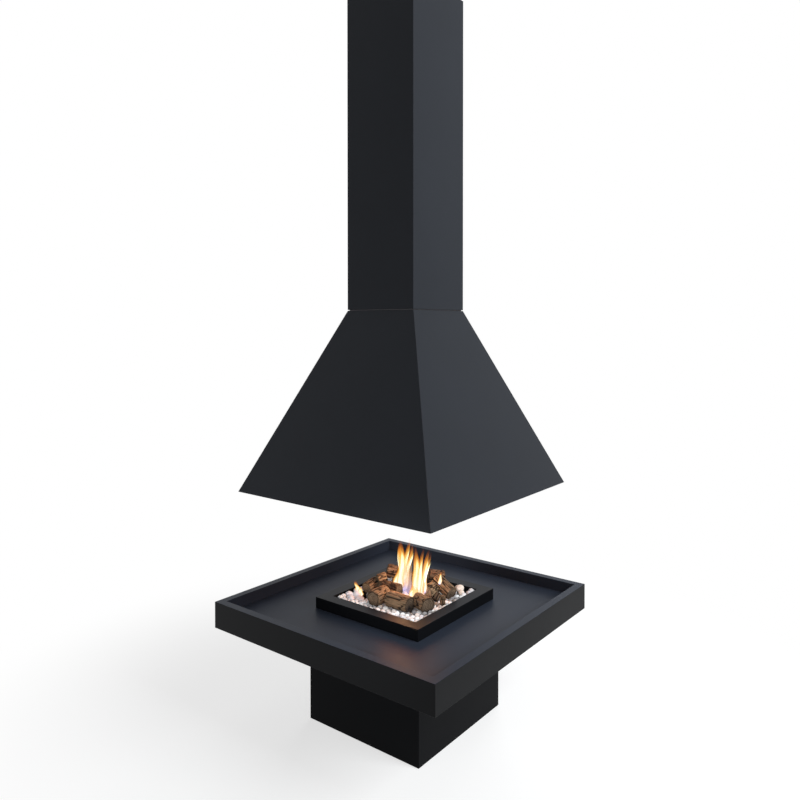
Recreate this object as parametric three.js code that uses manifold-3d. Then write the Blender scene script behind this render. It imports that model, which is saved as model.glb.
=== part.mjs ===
// Square hanging fireplace: a smoke hood hung from the ceiling over a gas hearth on a pedestal.
// Millimetres, +Z up. The origin is the middle of the pedestal's foot on the floor, -Y is the
// front and +Y the side with the access door.
import * as THREE from 'three';
import { mergeVertices } from 'three/addons/utils/BufferGeometryUtils.js';
import Module from 'manifold-3d';

const wasm = await Module();
wasm.setup();

// ---------------------------------------------------------------- clearances
const seatGap = 0.3;          // left between pieces that rest on, touch or hang from each other
const runningGap = 0.6;       // round pieces that turn or slide
const shadowGap = 3;          // dark line between the hood and the chimney casing
const doorGap = 2;            // visible line round the access door
const panGap = 1.5;           // round the burner pan in the hearth's cut-out
const drillOverrun = 1;       // how far a cutting shape runs past the face that it cuts
const weldOverlap = 1;        // how far joined shapes run into each other

// ---------------------------------------------------------------- hearth and pedestal
const hearthWidth = 1000;
const hearthHeight = 455;     // top of the rim above the floor
const hearthSheet = 3;
const fasciaDepth = 96;
const rimWidth = 30;
const trayDepth = 42;
const fasciaReturn = 25;      // fold under the fascia

const pedestalWidth = 510;
const pedestalSheet = 3;
const pedestalTopFlange = 30;
const pedestalFootFlange = 25;
const basePlateThickness = 6;
const anchorSpacing = 420;
const anchorHoleRadius = 6;
const gasEntryRadius = 14;

const bearerHeight = 30;
const bearerWidth = 40;
const bearerSheet = 3;
const bearerToPan = 21;       // clear space between the bearers and the burner pan

// ---------------------------------------------------------------- burner
const surroundWidth = 480;
const surroundFlange = 46;
const surroundReturn = 20;
const surroundSheet = 3;
const panSheet = 2;
const panDepth = 76;
const panFlange = 34;
const mediaSheet = 2;
const mediaHeight = 52;       // media plate above the pan's floor
const mediaGap = 2;
const mediaLegWidth = 40;
const mediaBayDrop = 10;      // top of the bays between the legs, under the plate
const mediaSlotLength = 84;
const mediaSlotWidth = 7;
const mediaSlotRows = 5;
const mediaSlotsInRow = 3;
const ringRadius = 118;
const ringTube = 9.5;
const ringHeight = 27;        // middle of the ring above the pan's floor
const hubRadius = 14;
const hubHeight = 24;
const spokeRadius = 7;
const feedRadius = 6;
const feedNutRadius = 13;
const feedNutHeight = 7;
const feedSweep = 0.6;        // share of the way out where the pipe passes half its height
const electrodeSpot = [-88, -56];
const thermocoupleSpot = [-88, 56];
const sleeveRadius = 4;
const sleeveCollar = 8;
const rodRadius = 1.6;
const electrodeHeight = 36;
const sleeveHeight = 22;      // ceramic sleeve above the pan's floor
const stemLength = 14;

// ---------------------------------------------------------------- fuel bed
const bedDrop = 17;           // mean top of the pebbles below the rim
const bedGap = 2.3;
const pebbleRadius = 18;
const pebbleSmallest = 0.85;  // size of the smallest pebble against the largest
const pebbleSeed = 7;
const pebbleSquash = 0.6;
const pebblePitch = 38;
const pebbleShift = 3;
const pebbleBury = 8;         // middle of the pebbles below the bed's mean top
const moundHalf = 92;         // the bed rises under the middle of the logs
const moundRise = 3;
const logSides = 11;
const logBands = 3;
const barkDepth = 0.09;
const coarseRidges = 3;       // round each log
const fineRidges = 5;
const barkTwist = 2;
const logCrook = 4;
const logs = [                // ends of each log's axis from the middle of the bed, and radius
  { from: [-46, -146, 24], to: [-45, -72, 26], radius: 30 },
  { from: [0, -102, 23], to: [98, -106, 23], radius: 30 },
  { from: [155, -74, 23], to: [92, -55, 27], radius: 27 },
  { from: [76, 4, 24], to: [72, 70, 27], radius: 24 },
  { from: [-62, -30, 25], to: [-24, 4, 27], radius: 25 },
  { from: [-142, -67, 21], to: [-146, -4, 27], radius: 23 },
  { from: [-120, 62, 23], to: [10, 164, 23], radius: 25 },
  { from: [-45, 62, 23], to: [42, 50, 24], radius: 24 },
  { from: [159, 16, -5], to: [162, 12, 40], radius: 11 },
  { from: [114, 28, 6], to: [110, 54, 22], radius: 14 },
  { from: [158, 77, 26], to: [76, 92, 58], radius: 26 },
  { from: [-117, -29, 52], to: [-98, 0, 58], radius: 19 },
  { from: [-134, 48, 62], to: [-105, 72, 52], radius: 27 },
  { from: [-20, 72, 60], to: [40, 84, 62], radius: 20 },
  { from: [14, 128, 54], to: [56, 172, 46], radius: 20 },
];

// ---------------------------------------------------------------- gas train
const inletSpot = [-130, 60];
const inletRadius = 10.5;
const inletWall = 2.5;
const inletTop = 96;
const unionRadius = 18;
const unionHeight = 20;
const unionBase = 56;
const cockHeight = 54;
const cockHexHeight = 13.5;
const cockRadius = 14;
const cockBallRadius = 20;
const cockSpindleRadius = 5;
const cockSpindleLength = 12;
const leverLength = 56;
const leverWidth = 16;
const leverThickness = 3;
const leverHub = 11;
const supplyRadius = 6;
const supplyNutRadius = 11;
const supplyNutHeight = 10;
const bracketWidth = 230;
const bracketHeight = 236;
const bracketFoot = 55;
const bracketSheet = 3;
const bracketFace = 150;      // front face of the control bracket, towards the door
const valveSpot = [58, 196];  // across and above the floor
const valveWidth = 76;
const valveDepth = 48;
const valveHeight = 62;
const valveChamfer = 8;
const portRadius = 11;
const portLength = 14;
const outletOffset = 18;
const knobRadius = 20;
const knobDepth = 18;
const knobSkirt = 5.4;
const knobShoulder = 1.8;
const knobGripRadius = 16.4;
const knobTaper = 0.8;
const knobRibs = 12;
const knobRibRadius = 1.8;
const knobPointerReach = 19;
const knobPointerProud = 2.2;
const knobShaftRadius = 4;
const knobStandOff = 3;
const igniterSpot = [-52, 112];
const igniterRadius = 10;
const igniterLength = 34;
const igniterBezel = 14;
const igniterBezelDepth = 4;
const buttonRadius = 7;
const buttonLength = 22;
const buttonEdge = 1.5;
const buttonProud = 8;
const buttonTravel = 6;
const buttonSpring = 8;       // room for the return spring behind the pressed button

// ---------------------------------------------------------------- access door
const doorWidth = 380;        // of the opening
const doorHeight = 250;
const doorSill = 60;
const doorSheet = 2.5;
const doorFold = 15;
const louvreCount = 6;
const louvrePitch = 26;
const louvreLength = 230;
const louvreSlot = 8;
const louvreHood = 7;
const hingeOffset = 6;        // hinge pin outside the edge of the opening
const hingeStandOff = 6;      // hinge pin off the pedestal's face
const hingeBarrel = 5.5;
const hingePin = 2.5;
const hingeHalf = 22;         // length of each barrel
const hingeLeaf = 30;
const hingeLeafSheet = 2.5;
const hingeLeafGap = 0.5;     // door's leaves off the pedestal's face
const hingeInset = 40;        // lower end of each hinge in from the door's edges
const latchInset = 26;
const latchShaft = 5;
const latchKnob = 13;
const latchKnobDepth = 12;
const latchKnobEdge = 3;
const latchGripWidth = 5;
const latchGripHeight = 5;
const latchCamLength = 40;
const latchCamWidth = 14;
const latchCamSheet = 4;
const latchCamDepth = 22;     // cam behind the door's face

// ---------------------------------------------------------------- hood, flue and casing
const hoodWidth = 880;
const hoodBottom = 858;
const hoodHeight = 667;
const hoodSheet = 3;
const hoodLip = 25;
const hoodTopLip = 20;
const casingWidth = 310;
const casingSheet = 2;
const casingReturn = 18;
const overallHeight = 2700;
const upstandHeight = 40;
const frameFoot = 40;
const frameSheet = 3;
const collarSheet = 2;
const flueRadius = 100;
const flueSheet = 2;
const spigotBelow = 62;       // spigot below the hood's top
const spigotAbove = 76;
const flueJointHeight = 2140;
const socketLength = 42;
const beadHeight = 6;
const clampWidth = 24;
const clampSheet = 2;
const clampLug = [16, 12, 20];
const ceilingSheet = 6;
const rodSpacing = 248;
const hangerRadius = 6;
const nutRadius = 11;
const nutHeight = 10;
const damperGap = 4;          // round the damper plate in the spigot
const damperSheet = 3;
const damperDrop = 26;        // damper shaft below the hood's top
const damperShaft = 4;
const damperShaftEnd = 132;
const damperArm = 46;
const damperArmWidth = 14;
const damperArmSheet = 4;
const damperKnob = 8;

// ---------------------------------------------------------------- roundness
const roundSides = 24;
const smallSides = 12;
const barrelSides = 16;
const nutSides = 6;
const tubeSides = 8;
const tubeSteps = 18;
const ringSteps = 24;
const ballBands = 8;
const pebbleSides = 6;
const pebbleBands = 3;
const weldTolerance = 1e-4;

// ---------------------------------------------------------------- levels worked out from the above
const hearthHalf = hearthWidth / 2;
const pedestalHalf = pedestalWidth / 2;
const trayTop = hearthHeight - trayDepth;
const trayUnder = trayTop - hearthSheet;
const fasciaBottom = hearthHeight - fasciaDepth;
const bearerTop = trayUnder - seatGap;
const bearerBottom = bearerTop - bearerHeight;
const pedestalTop = bearerBottom - seatGap;
const surroundHalf = surroundWidth / 2;
const fireHalf = surroundHalf - surroundFlange;
const surroundFoot = trayTop + seatGap;
const panTop = surroundFoot + panSheet;
const panBottom = panTop - panDepth;
const panFloor = panBottom + panSheet;
const mediaTop = panFloor + mediaHeight;
const bedTop = hearthHeight - bedDrop;
const hubBottom = panFloor + ringHeight - hubHeight / 2;
const casingHalf = casingWidth / 2;
const hoodTop = hoodBottom + hoodHeight;
const casingBottom = hoodTop + shadowGap;
const casingTop = overallHeight - seatGap;
const casingClear = casingHalf - 2 * (casingSheet + seatGap); // inside the casing's rear lips
const frameBottom = hoodTop + seatGap;
const collarBottom = frameBottom + frameSheet + seatGap;
const spigotTop = hoodTop + spigotAbove;
const socketRadius = flueRadius + seatGap;
const damperLevel = hoodTop - damperDrop;
const doorHalf = doorWidth / 2;
const valveBack = bracketFace - bracketSheet - seatGap;

// ---------------------------------------------------------------- finishes
const finish = (color, roughness, metalness) =>
  new THREE.MeshStandardMaterial({ color, roughness, metalness });
const finishes = {
  blackSteel: finish(0x232528, 0.5, 0.35),
  rawSteel: finish(0x8b8e90, 0.4, 0.9),
  zinc: finish(0xa9adb0, 0.35, 0.9),
  brass: finish(0xb59a55, 0.35, 0.9),
  copper: finish(0xa8663f, 0.35, 0.9),
  ceramicLog: finish(0x6b5138, 0.9, 0),
  pebble: finish(0xdcd5cf, 0.8, 0),
  blackPlastic: finish(0x17181a, 0.45, 0),
  redPlastic: finish(0x9c1f1a, 0.45, 0),
  ceramicWhite: finish(0xe4e0d6, 0.5, 0),
};

const fireplace = new THREE.Group();
fireplace.name = 'hanging_fireplace';

// Adds one named piece, optionally placed by its own position.
function place(name, geometry, material, position = [0, 0, 0]) {
  const mesh = new THREE.Mesh(geometry, material.clone());
  mesh.name = name;
  mesh.position.set(...position);
  fireplace.add(mesh);
  return mesh;
}

// ---------------------------------------------------------------- solid geometry helpers
// Closed mesh with shared corners and no empty triangles.
function weld(geometry) {
  const bare = new THREE.BufferGeometry();
  bare.setAttribute('position', geometry.getAttribute('position').clone());
  bare.setIndex(geometry.index ? geometry.index.clone() : null);
  const merged = mergeVertices(bare, weldTolerance);
  const corners = merged.index.array;
  const kept = [];
  for (let i = 0; i < corners.length; i += 3) {
    const [a, b, c] = corners.slice(i, i + 3);
    if (a !== b && b !== c && c !== a) {
      kept.push(a, b, c);
    }
  }
  merged.setIndex(kept);
  return merged;
}

function toSolid(geometry) {
  const closed = weld(geometry);
  return new wasm.Manifold(new wasm.Mesh({
    numProp: 3,
    vertProperties: closed.getAttribute('position').array,
    triVerts: new Uint32Array(closed.index.array),
  }));
}

function toGeometry(solid) {
  const mesh = solid.getMesh();
  const geometry = new THREE.BufferGeometry();
  geometry.setAttribute('position', new THREE.BufferAttribute(mesh.vertProperties, 3));
  geometry.setIndex(new THREE.BufferAttribute(mesh.triVerts, 1));
  geometry.computeVertexNormals();
  return geometry;
}

const join = (...parts) => toGeometry(parts.map(toSolid).reduce((sum, part) => sum.add(part)));
const common = (a, b) => toGeometry(toSolid(a).intersect(toSolid(b)));

function cut(body, ...tools) {
  return toGeometry(tools.map(toSolid).reduce((rest, tool) => rest.subtract(tool), toSolid(body)));
}

// Box between two limits on each axis.
function slab([x0, x1], [y0, y1], [z0, z1]) {
  const box = new THREE.BoxGeometry(x1 - x0, y1 - y0, z1 - z0);
  return box.translate((x0 + x1) / 2, (y0 + y1) / 2, (z0 + z1) / 2);
}

// Upright prism over an outline of [x, y] points.
function prism(outline, bottom, top) {
  const shape = new THREE.Shape(outline.map(([x, y]) => new THREE.Vector2(x, y)));
  const body = new THREE.ExtrudeGeometry(shape, { depth: top - bottom, bevelEnabled: false });
  return body.translate(0, 0, bottom);
}

const toY = (upright) => upright.rotateX(-Math.PI / 2);
const toX = (upright) => upright.rotateY(Math.PI / 2);

// Upright round bar, also used as a drill.
function bar(radius, bottom, top, sides = smallSides) {
  const cylinder = new THREE.CylinderGeometry(radius, radius, top - bottom, sides);
  return cylinder.rotateX(Math.PI / 2).translate(0, 0, (bottom + top) / 2);
}

function drill(radius, [x, y], bottom, top, sides = smallSides) {
  return bar(radius, bottom - drillOverrun, top + drillOverrun, sides).translate(x, y, 0);
}

// Sheet folded round a square: a section of [half width, height] points goes round four sides
// with mitred corners. The section runs anticlockwise and closes on itself or on the axis.
function squareRing(section) {
  return turned(section.map(([half, height]) => [half * Math.SQRT2, height]), 4, Math.PI / 4);
}

// Round part turned about the upright axis from [radius, height] points, anticlockwise.
function turned(section, sides = roundSides, start = 0) {
  const points = section.map(([radius, height]) => new THREE.Vector2(radius, height));
  if (section[0][0] > 0) {
    points.push(points[0].clone());
  }
  return new THREE.LatheGeometry(points, sides, start).rotateX(Math.PI / 2);
}

// Round tube along a smooth line through the points.
function tubeAlong(points, radius) {
  const circle = Array.from({ length: tubeSides }, (_, i) => {
    const angle = (2 * Math.PI * i) / tubeSides;
    return new THREE.Vector2(radius * Math.cos(angle), radius * Math.sin(angle));
  });
  const path = new THREE.CatmullRomCurve3(points.map((point) => new THREE.Vector3(...point)));
  const options = { steps: tubeSteps, extrudePath: path, bevelEnabled: false };
  return new THREE.ExtrudeGeometry(new THREE.Shape(circle), options);
}

// The four points at a distance from the middle along both axes.
const corners = (half) => [[half, half], [-half, half], [-half, -half], [half, -half]];

// Repeatable random numbers between 0 and 1.
function randomNumbers(seed) {
  const [multiplier, increment, modulus] = [1103515245, 12345, 2 ** 31];
  let state = seed;
  return () => {
    state = (state * multiplier + increment) % modulus;
    return state / modulus;
  };
}

// ---------------------------------------------------------------- pedestal and hearth
function basePlate() {
  const half = pedestalHalf - pedestalSheet - seatGap;
  const anchors = corners(anchorSpacing / 2).map((spot) =>
    drill(anchorHoleRadius, spot, 0, basePlateThickness));
  const entry = drill(gasEntryRadius, inletSpot, 0, basePlateThickness);
  return cut(slab([-half, half], [-half, half], [0, basePlateThickness]), entry, ...anchors);
}

// Folded casing with a flange top and bottom and a jamb round the door opening.
function pedestalShell() {
  const inner = pedestalHalf - pedestalSheet;
  const footLevel = basePlateThickness + seatGap;
  const shell = squareRing([
    [pedestalHalf, 0],
    [pedestalHalf, pedestalTop],
    [pedestalHalf - pedestalTopFlange, pedestalTop],
    [pedestalHalf - pedestalTopFlange, pedestalTop - pedestalSheet],
    [inner, pedestalTop - pedestalSheet],
    [inner, footLevel + pedestalSheet],
    [inner - pedestalFootFlange, footLevel + pedestalSheet],
    [inner - pedestalFootFlange, footLevel],
    [inner, footLevel],
    [inner, 0],
  ]);
  const jambBack = pedestalHalf - latchCamDepth + latchCamSheet + runningGap;
  const jamb = slab(
    [-doorHalf - pedestalSheet, doorHalf + pedestalSheet],
    [jambBack, inner + drillOverrun],
    [doorSill - pedestalSheet, doorSill + doorHeight + pedestalSheet],
  );
  const opening = slab(
    [-doorHalf, doorHalf],
    [jambBack - drillOverrun, pedestalHalf + drillOverrun],
    [doorSill, doorSill + doorHeight],
  );
  return cut(join(shell, jamb), opening);
}

// Folded channel, open side down, as long as fits between the fascias.
function bearer() {
  const half = bearerWidth / 2;
  const inner = half - bearerSheet;
  const length = hearthHalf - hearthSheet - seatGap;
  const web = bearerTop - bearerSheet;
  const top = slab([-length, length], [-half, half], [web, bearerTop]);
  const legs = [-1, 1].map((side) => {
    const across = [side * half, side * inner].sort((a, b) => a - b);
    return slab([-length, length], across, [bearerBottom, bearerTop]);
  });
  return join(top, ...legs);
}

function bearerFrame() {
  const offset = fireHalf + bearerToPan + bearerWidth / 2;
  const along = [-offset, offset].map((y) => bearer().translate(0, y, 0));
  const across = [-offset, offset].map((x) => bearer().rotateZ(Math.PI / 2).translate(x, 0, 0));
  return join(...along, ...across);
}

function hearthTop() {
  const wall = hearthHalf - rimWidth;
  const hole = fireHalf + panGap;
  return squareRing([
    [hearthHalf, fasciaBottom],
    [hearthHalf, hearthHeight],
    [wall, hearthHeight],
    [wall, trayTop],
    [hole, trayTop],
    [hole, trayUnder],
    [wall + hearthSheet, trayUnder],
    [wall + hearthSheet, hearthHeight - hearthSheet],
    [hearthHalf - hearthSheet, hearthHeight - hearthSheet],
    [hearthHalf - hearthSheet, fasciaBottom + hearthSheet],
    [hearthHalf - fasciaReturn, fasciaBottom + hearthSheet],
    [hearthHalf - fasciaReturn, fasciaBottom],
  ]);
}

place('base_plate', basePlate(), finishes.rawSteel);
place('pedestal_shell', pedestalShell(), finishes.blackSteel);
place('bearer_frame', bearerFrame(), finishes.rawSteel);
place('hearth_top', weld(hearthTop()), finishes.blackSteel);

// ---------------------------------------------------------------- burner
function burnerSurround() {
  return squareRing([
    [surroundHalf, surroundFoot],
    [surroundHalf, hearthHeight],
    [fireHalf, hearthHeight],
    [fireHalf, hearthHeight - surroundReturn],
    [fireHalf + surroundSheet, hearthHeight - surroundReturn],
    [fireHalf + surroundSheet, hearthHeight - surroundSheet],
    [surroundHalf - surroundSheet, hearthHeight - surroundSheet],
    [surroundHalf - surroundSheet, surroundFoot],
  ]);
}

function burnerPan() {
  const rim = fireHalf + panFlange;
  const pan = squareRing([
    [0, panBottom],
    [fireHalf, panBottom],
    [fireHalf, surroundFoot],
    [rim, surroundFoot],
    [rim, panTop],
    [fireHalf - panSheet, panTop],
    [fireHalf - panSheet, panFloor],
    [0, panFloor],
  ]);
  const stemHoles = [electrodeSpot, thermocoupleSpot].map((spot) =>
    drill(sleeveRadius + runningGap, spot, panBottom, panFloor));
  return cut(pan, drill(feedRadius + runningGap, [0, 0], panBottom, panFloor), ...stemHoles);
}

function mediaPlate() {
  const half = fireHalf - panSheet - mediaGap;
  const under = mediaTop - mediaSheet;
  const foot = panFloor + seatGap;
  const plate = squareRing([
    [0, under],
    [half - mediaSheet, under],
    [half - mediaSheet, foot],
    [half, foot],
    [half, mediaTop],
    [0, mediaTop],
  ]);
  const bay = half - mediaLegWidth;
  const past = half + drillOverrun;
  const bayTop = under - mediaBayDrop;
  const bays = [
    slab([-bay, bay], [-past, past], [foot - drillOverrun, bayTop]),
    slab([-past, past], [-bay, bay], [foot - drillOverrun, bayTop]),
  ];
  const rowPitch = (2 * half) / (mediaSlotRows + 1);
  const slotPitch = (2 * half) / mediaSlotsInRow;
  const slots = [];
  for (let row = 0; row < mediaSlotRows; row += 1) {
    const y = (row - (mediaSlotRows - 1) / 2) * rowPitch;
    for (let i = 0; i < mediaSlotsInRow; i += 1) {
      const x = (i - (mediaSlotsInRow - 1) / 2) * slotPitch;
      slots.push(slab(
        [x - mediaSlotLength / 2, x + mediaSlotLength / 2],
        [y - mediaSlotWidth / 2, y + mediaSlotWidth / 2],
        [under - drillOverrun, mediaTop + drillOverrun],
      ));
    }
  }
  return cut(plate, ...bays, ...slots);
}

// Fire ring: a round burner tube with one spoke and a hub over the feed pipe.
function burnerRing() {
  const middle = panFloor + ringHeight;
  const ring = new THREE.TorusGeometry(ringRadius, ringTube, tubeSides, ringSteps);
  const spoke = toX(bar(spokeRadius, -ringRadius, ringRadius, tubeSides));
  const hub = bar(hubRadius, hubBottom, middle + ringTube);
  return join(ring.translate(0, 0, middle), spoke.translate(0, 0, middle), hub);
}

// Pipe from the valve's outlet to the hub, with a lock nut under the pan.
function feedPipe() {
  const outletX = valveSpot[0] + outletOffset;
  const outletY = valveBack - valveDepth / 2;
  const start = valveSpot[1] + valveHeight / 2 + portLength + seatGap;
  const end = hubBottom - seatGap;
  const nutTop = panBottom - seatGap;
  const turn = nutTop - feedNutHeight;
  const pipe = tubeAlong([
    [outletX, outletY, start],
    [outletX, outletY, start + 2 * feedRadius],
    [outletX * feedSweep, outletY * feedSweep, (start + turn) / 2],
    [0, 0, turn - 3 * feedRadius],
    [0, 0, turn],
    [0, 0, end],
  ], feedRadius);
  return join(pipe, bar(feedNutRadius, turn, nutTop, nutSides));
}

// Rod in a ceramic sleeve that stands on its collar on the pan's floor.
function sensorRod() {
  const collarBase = panFloor + seatGap;
  return turned([
    [0, panBottom - stemLength],
    [rodRadius, panBottom - stemLength],
    [sleeveRadius, panBottom - stemLength / 2],
    [sleeveRadius, collarBase],
    [sleeveCollar, collarBase],
    [sleeveCollar, collarBase + sleeveRadius],
    [sleeveRadius, collarBase + sleeveRadius],
    [sleeveRadius, panFloor + sleeveHeight],
    [rodRadius, panFloor + sleeveHeight],
    [rodRadius, panFloor + electrodeHeight],
    [0, panFloor + electrodeHeight],
  ], smallSides);
}

place('burner_surround', weld(burnerSurround()), finishes.blackSteel);
place('burner_pan', burnerPan(), finishes.rawSteel);
place('media_plate', mediaPlate(), finishes.rawSteel);
place('burner_ring', burnerRing(), finishes.zinc);
place('burner_feed_pipe', feedPipe(), finishes.brass);
place('ignition_electrode', weld(sensorRod()), finishes.ceramicWhite,
  [...electrodeSpot, 0]);
place('thermocouple', weld(sensorRod()), finishes.copper, [...thermocoupleSpot, 0]);

// ---------------------------------------------------------------- logs and pebbles
// One ceramic log in the bed's frame, larger all round by grow. Bark ridges run along it, and
// its sawn ends are flat.
function logShape({ from, to, radius }, index, grow = 0) {
  const start = new THREE.Vector3(...from);
  const end = new THREE.Vector3(...to);
  const axis = end.clone().sub(start);
  const length = axis.length() + 2 * grow;
  const body = weld(new THREE.CylinderGeometry(radius, radius, length, logSides, logBands));
  const spots = body.getAttribute('position');
  for (let i = 0; i < spots.count; i += 1) {
    const angle = Math.atan2(spots.getZ(i), spots.getX(i));
    const along = spots.getY(i) / length;
    const coarse = Math.sin(coarseRidges * angle + index);
    const fine = Math.sin(fineRidges * angle + barkTwist * along + 2 * index);
    const crook = Math.cos(logCrook * along + index);
    const factor = 1 + (barkDepth * (coarse + fine + crook)) / 3 + grow / radius;
    spots.setX(i, spots.getX(i) * factor);
    spots.setZ(i, spots.getZ(i) * factor);
  }
  const turn = new THREE.Quaternion().setFromUnitVectors(
    new THREE.Vector3(0, 1, 0),
    axis.normalize(),
  );
  const middle = start.add(end).multiplyScalar(0.5);
  return body.applyQuaternion(turn).translate(middle.x, middle.y, middle.z);
}

const grownLogs = logs.map((log, index) => logShape(log, index, seatGap));

// Each log is notched where it lies on the ones before it.
logs.forEach((log, index) => {
  const notched = cut(logShape(log, index), ...grownLogs.slice(0, index));
  const name = `log_${String(index + 1).padStart(2, '0')}`;
  place(name, notched, finishes.ceramicLog, [0, 0, bedTop]);
});

// Bed of pebbles on the media plate, with hollows where the logs lie in it.
function pebbleBed() {
  const half = fireHalf - bedGap - panSheet;
  const random = randomNumbers(pebbleSeed);
  const level = -pebbleBury;
  const base = mediaTop + seatGap - bedTop;
  const parts = [
    slab([-half, half], [-half, half], [base, level]),
    slab([-moundHalf, moundHalf], [-moundHalf, moundHalf], [base, moundRise]),
  ];
  const count = Math.round((2 * half) / pebblePitch);
  const pitch = (2 * half) / count;
  for (let row = 0; row < count; row += 1) {
    for (let column = 0; column < count; column += 1) {
      const x = (column + 0.5) * pitch - half + (random() - 0.5) * pebbleShift;
      const y = (row + 0.5) * pitch - half + (random() - 0.5) * pebbleShift;
      const size = pebbleRadius * (pebbleSmallest + (1 - pebbleSmallest) * random());
      const lift = (random() - 0.5) * pebbleShift;
      if (Math.max(Math.abs(x), Math.abs(y)) > moundHalf) {
        const stone = new THREE.SphereGeometry(size, pebbleSides, pebbleBands);
        const turn = 2 * Math.PI * random();
        const limit = half - size;
        const inX = THREE.MathUtils.clamp(x, -limit, limit);
        const inY = THREE.MathUtils.clamp(y, -limit, limit);
        parts.push(stone.scale(1, 1, pebbleSquash).rotateZ(turn).translate(inX, inY, level + lift));
      }
    }
  }
  return cut(join(...parts), ...grownLogs);
}

place('pebble_bed', pebbleBed(), finishes.pebble, [0, 0, bedTop]);

// ---------------------------------------------------------------- gas train
// Hollow supply pipe up through the base plate, with a union nut.
function inletPipe() {
  const bore = inletRadius - inletWall;
  return join(
    turned([[bore, 0], [inletRadius, 0], [inletRadius, inletTop], [bore, inletTop]], smallSides),
    turned([
      [bore, unionBase],
      [unionRadius, unionBase],
      [unionRadius, unionBase + unionHeight],
      [bore, unionBase + unionHeight],
    ], nutSides),
  );
}

// Brass isolating cock with hexagon ends, a ball housing and a spindle boss towards the door.
function gasCock() {
  const bottom = inletTop + seatGap;
  const middle = bottom + cockHeight / 2;
  const top = bottom + cockHeight;
  const lower = bar(unionRadius, bottom, bottom + cockHexHeight, nutSides);
  const upper = bar(unionRadius, top - cockHexHeight, top, nutSides);
  const waist = bar(cockRadius, bottom, top);
  const ball = new THREE.SphereGeometry(cockBallRadius, smallSides, ballBands).translate(0, 0, middle);
  const reach = cockBallRadius + cockSpindleLength;
  const spindle = toY(bar(cockSpindleRadius, 0, reach)).translate(0, 0, middle);
  return join(lower, upper, waist, ball, spindle);
}

// Lever with a hub on the spindle; it points up along the pipe when the cock is open.
function cockLever() {
  const disc = bar(leverHub, 0, leverThickness);
  const blade = slab([-leverWidth / 2, leverWidth / 2], [0, leverLength], [0, leverThickness]);
  const tip = bar(leverWidth / 2, 0, leverThickness).translate(0, leverLength, 0);
  const bore = drill(cockSpindleRadius + seatGap, [0, 0], 0, leverThickness);
  return toY(cut(join(disc, blade, tip), bore)).rotateY(Math.PI);
}

// Bent pipe from the cock to the valve's inlet, with a compression nut at each end.
function supplyPipe() {
  const [x, y] = inletSpot;
  const start = inletTop + seatGap + cockHeight + seatGap;
  const endX = valveSpot[0] - valveWidth / 2 - portLength - seatGap;
  const endY = valveBack - valveDepth / 2;
  const endZ = valveSpot[1];
  const straight = supplyNutHeight + supplyRadius;
  const pipe = tubeAlong([
    [x, y, start],
    [x, y, start + straight],
    [x + straight, (2 * y + endY) / 3, endZ + supplyRadius],
    [(x + endX) / 2, (y + 2 * endY) / 3 + supplyRadius, endZ + supplyRadius],
    [endX - straight, endY, endZ],
    [endX, endY, endZ],
  ], supplyRadius);
  const lowerNut = bar(supplyNutRadius, start, start + supplyNutHeight, nutSides);
  const endNut = toX(bar(supplyNutRadius, endX - supplyNutHeight, endX, nutSides));
  return join(pipe, lowerNut.translate(x, y, 0), endNut.translate(0, endY, endZ));
}

// Folded bracket that stands on the base plate and carries the valve and the igniter.
function controlBracket() {
  const foot = basePlateThickness + seatGap;
  const half = bracketWidth / 2;
  const plate = slab([-half, half], [bracketFace - bracketSheet, bracketFace], [foot, bracketHeight]);
  const base = slab([-half, half], [bracketFace - bracketFoot, bracketFace], [foot, foot + bracketSheet]);
  const reach = [bracketFace - bracketSheet, bracketFace];
  const shaftHole = toY(drill(knobShaftRadius + runningGap, [0, 0], ...reach));
  const barrelHole = toY(drill(igniterRadius + seatGap, [0, 0], ...reach, barrelSides));
  return cut(
    join(plate, base),
    shaftHole.translate(valveSpot[0], 0, valveSpot[1]),
    barrelHole.translate(igniterSpot[0], 0, igniterSpot[1]),
  );
}

// Valve block with bevelled edges, an inlet port on the left and an outlet port on top.
function gasValve() {
  const w = valveWidth / 2;
  const h = valveHeight / 2;
  const c = valveChamfer;
  const outline = [
    [-w + c, -h], [w - c, -h], [w, -h + c], [w, h - c],
    [w - c, h], [-w + c, h], [-w, h - c], [-w, -h + c],
  ];
  const block = prism(outline, -valveDepth / 2, valveDepth / 2).rotateX(Math.PI / 2);
  const inlet = toX(bar(portRadius, -w - portLength, 0));
  const outlet = bar(portRadius, 0, h + portLength).translate(outletOffset, 0, 0);
  return join(block, inlet, outlet);
}

// Ribbed control knob with a pointer and its shaft, drawn upright and laid towards the door.
function gasKnob() {
  const shaftEnd = bracketSheet + seatGap - runningGap;
  const skirtTop = knobStandOff + knobSkirt;
  const top = knobStandOff + knobDepth;
  const grip = turned([
    [0, knobStandOff],
    [knobRadius, knobStandOff],
    [knobRadius, skirtTop],
    [knobGripRadius, skirtTop + knobShoulder],
    [knobGripRadius - knobTaper, top],
    [0, top],
  ]);
  const ribs = Array.from({ length: knobRibs }, (_, i) => {
    const angle = (2 * Math.PI * i) / knobRibs;
    const rib = bar(knobRibRadius, skirtTop + knobShoulder / 2, top - knobShoulder, nutSides);
    const out = knobGripRadius - knobTaper / 2;
    return rib.translate(out * Math.cos(angle), out * Math.sin(angle), 0);
  });
  const pointer = slab(
    [-knobRibRadius, knobRibRadius],
    [-knobPointerReach, 0],
    [(knobStandOff + top) / 2, top + knobPointerProud],
  );
  const shaft = bar(knobShaftRadius, -shaftEnd, knobStandOff + weldOverlap);
  return toY(join(grip, shaft, ...ribs, pointer));
}

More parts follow.
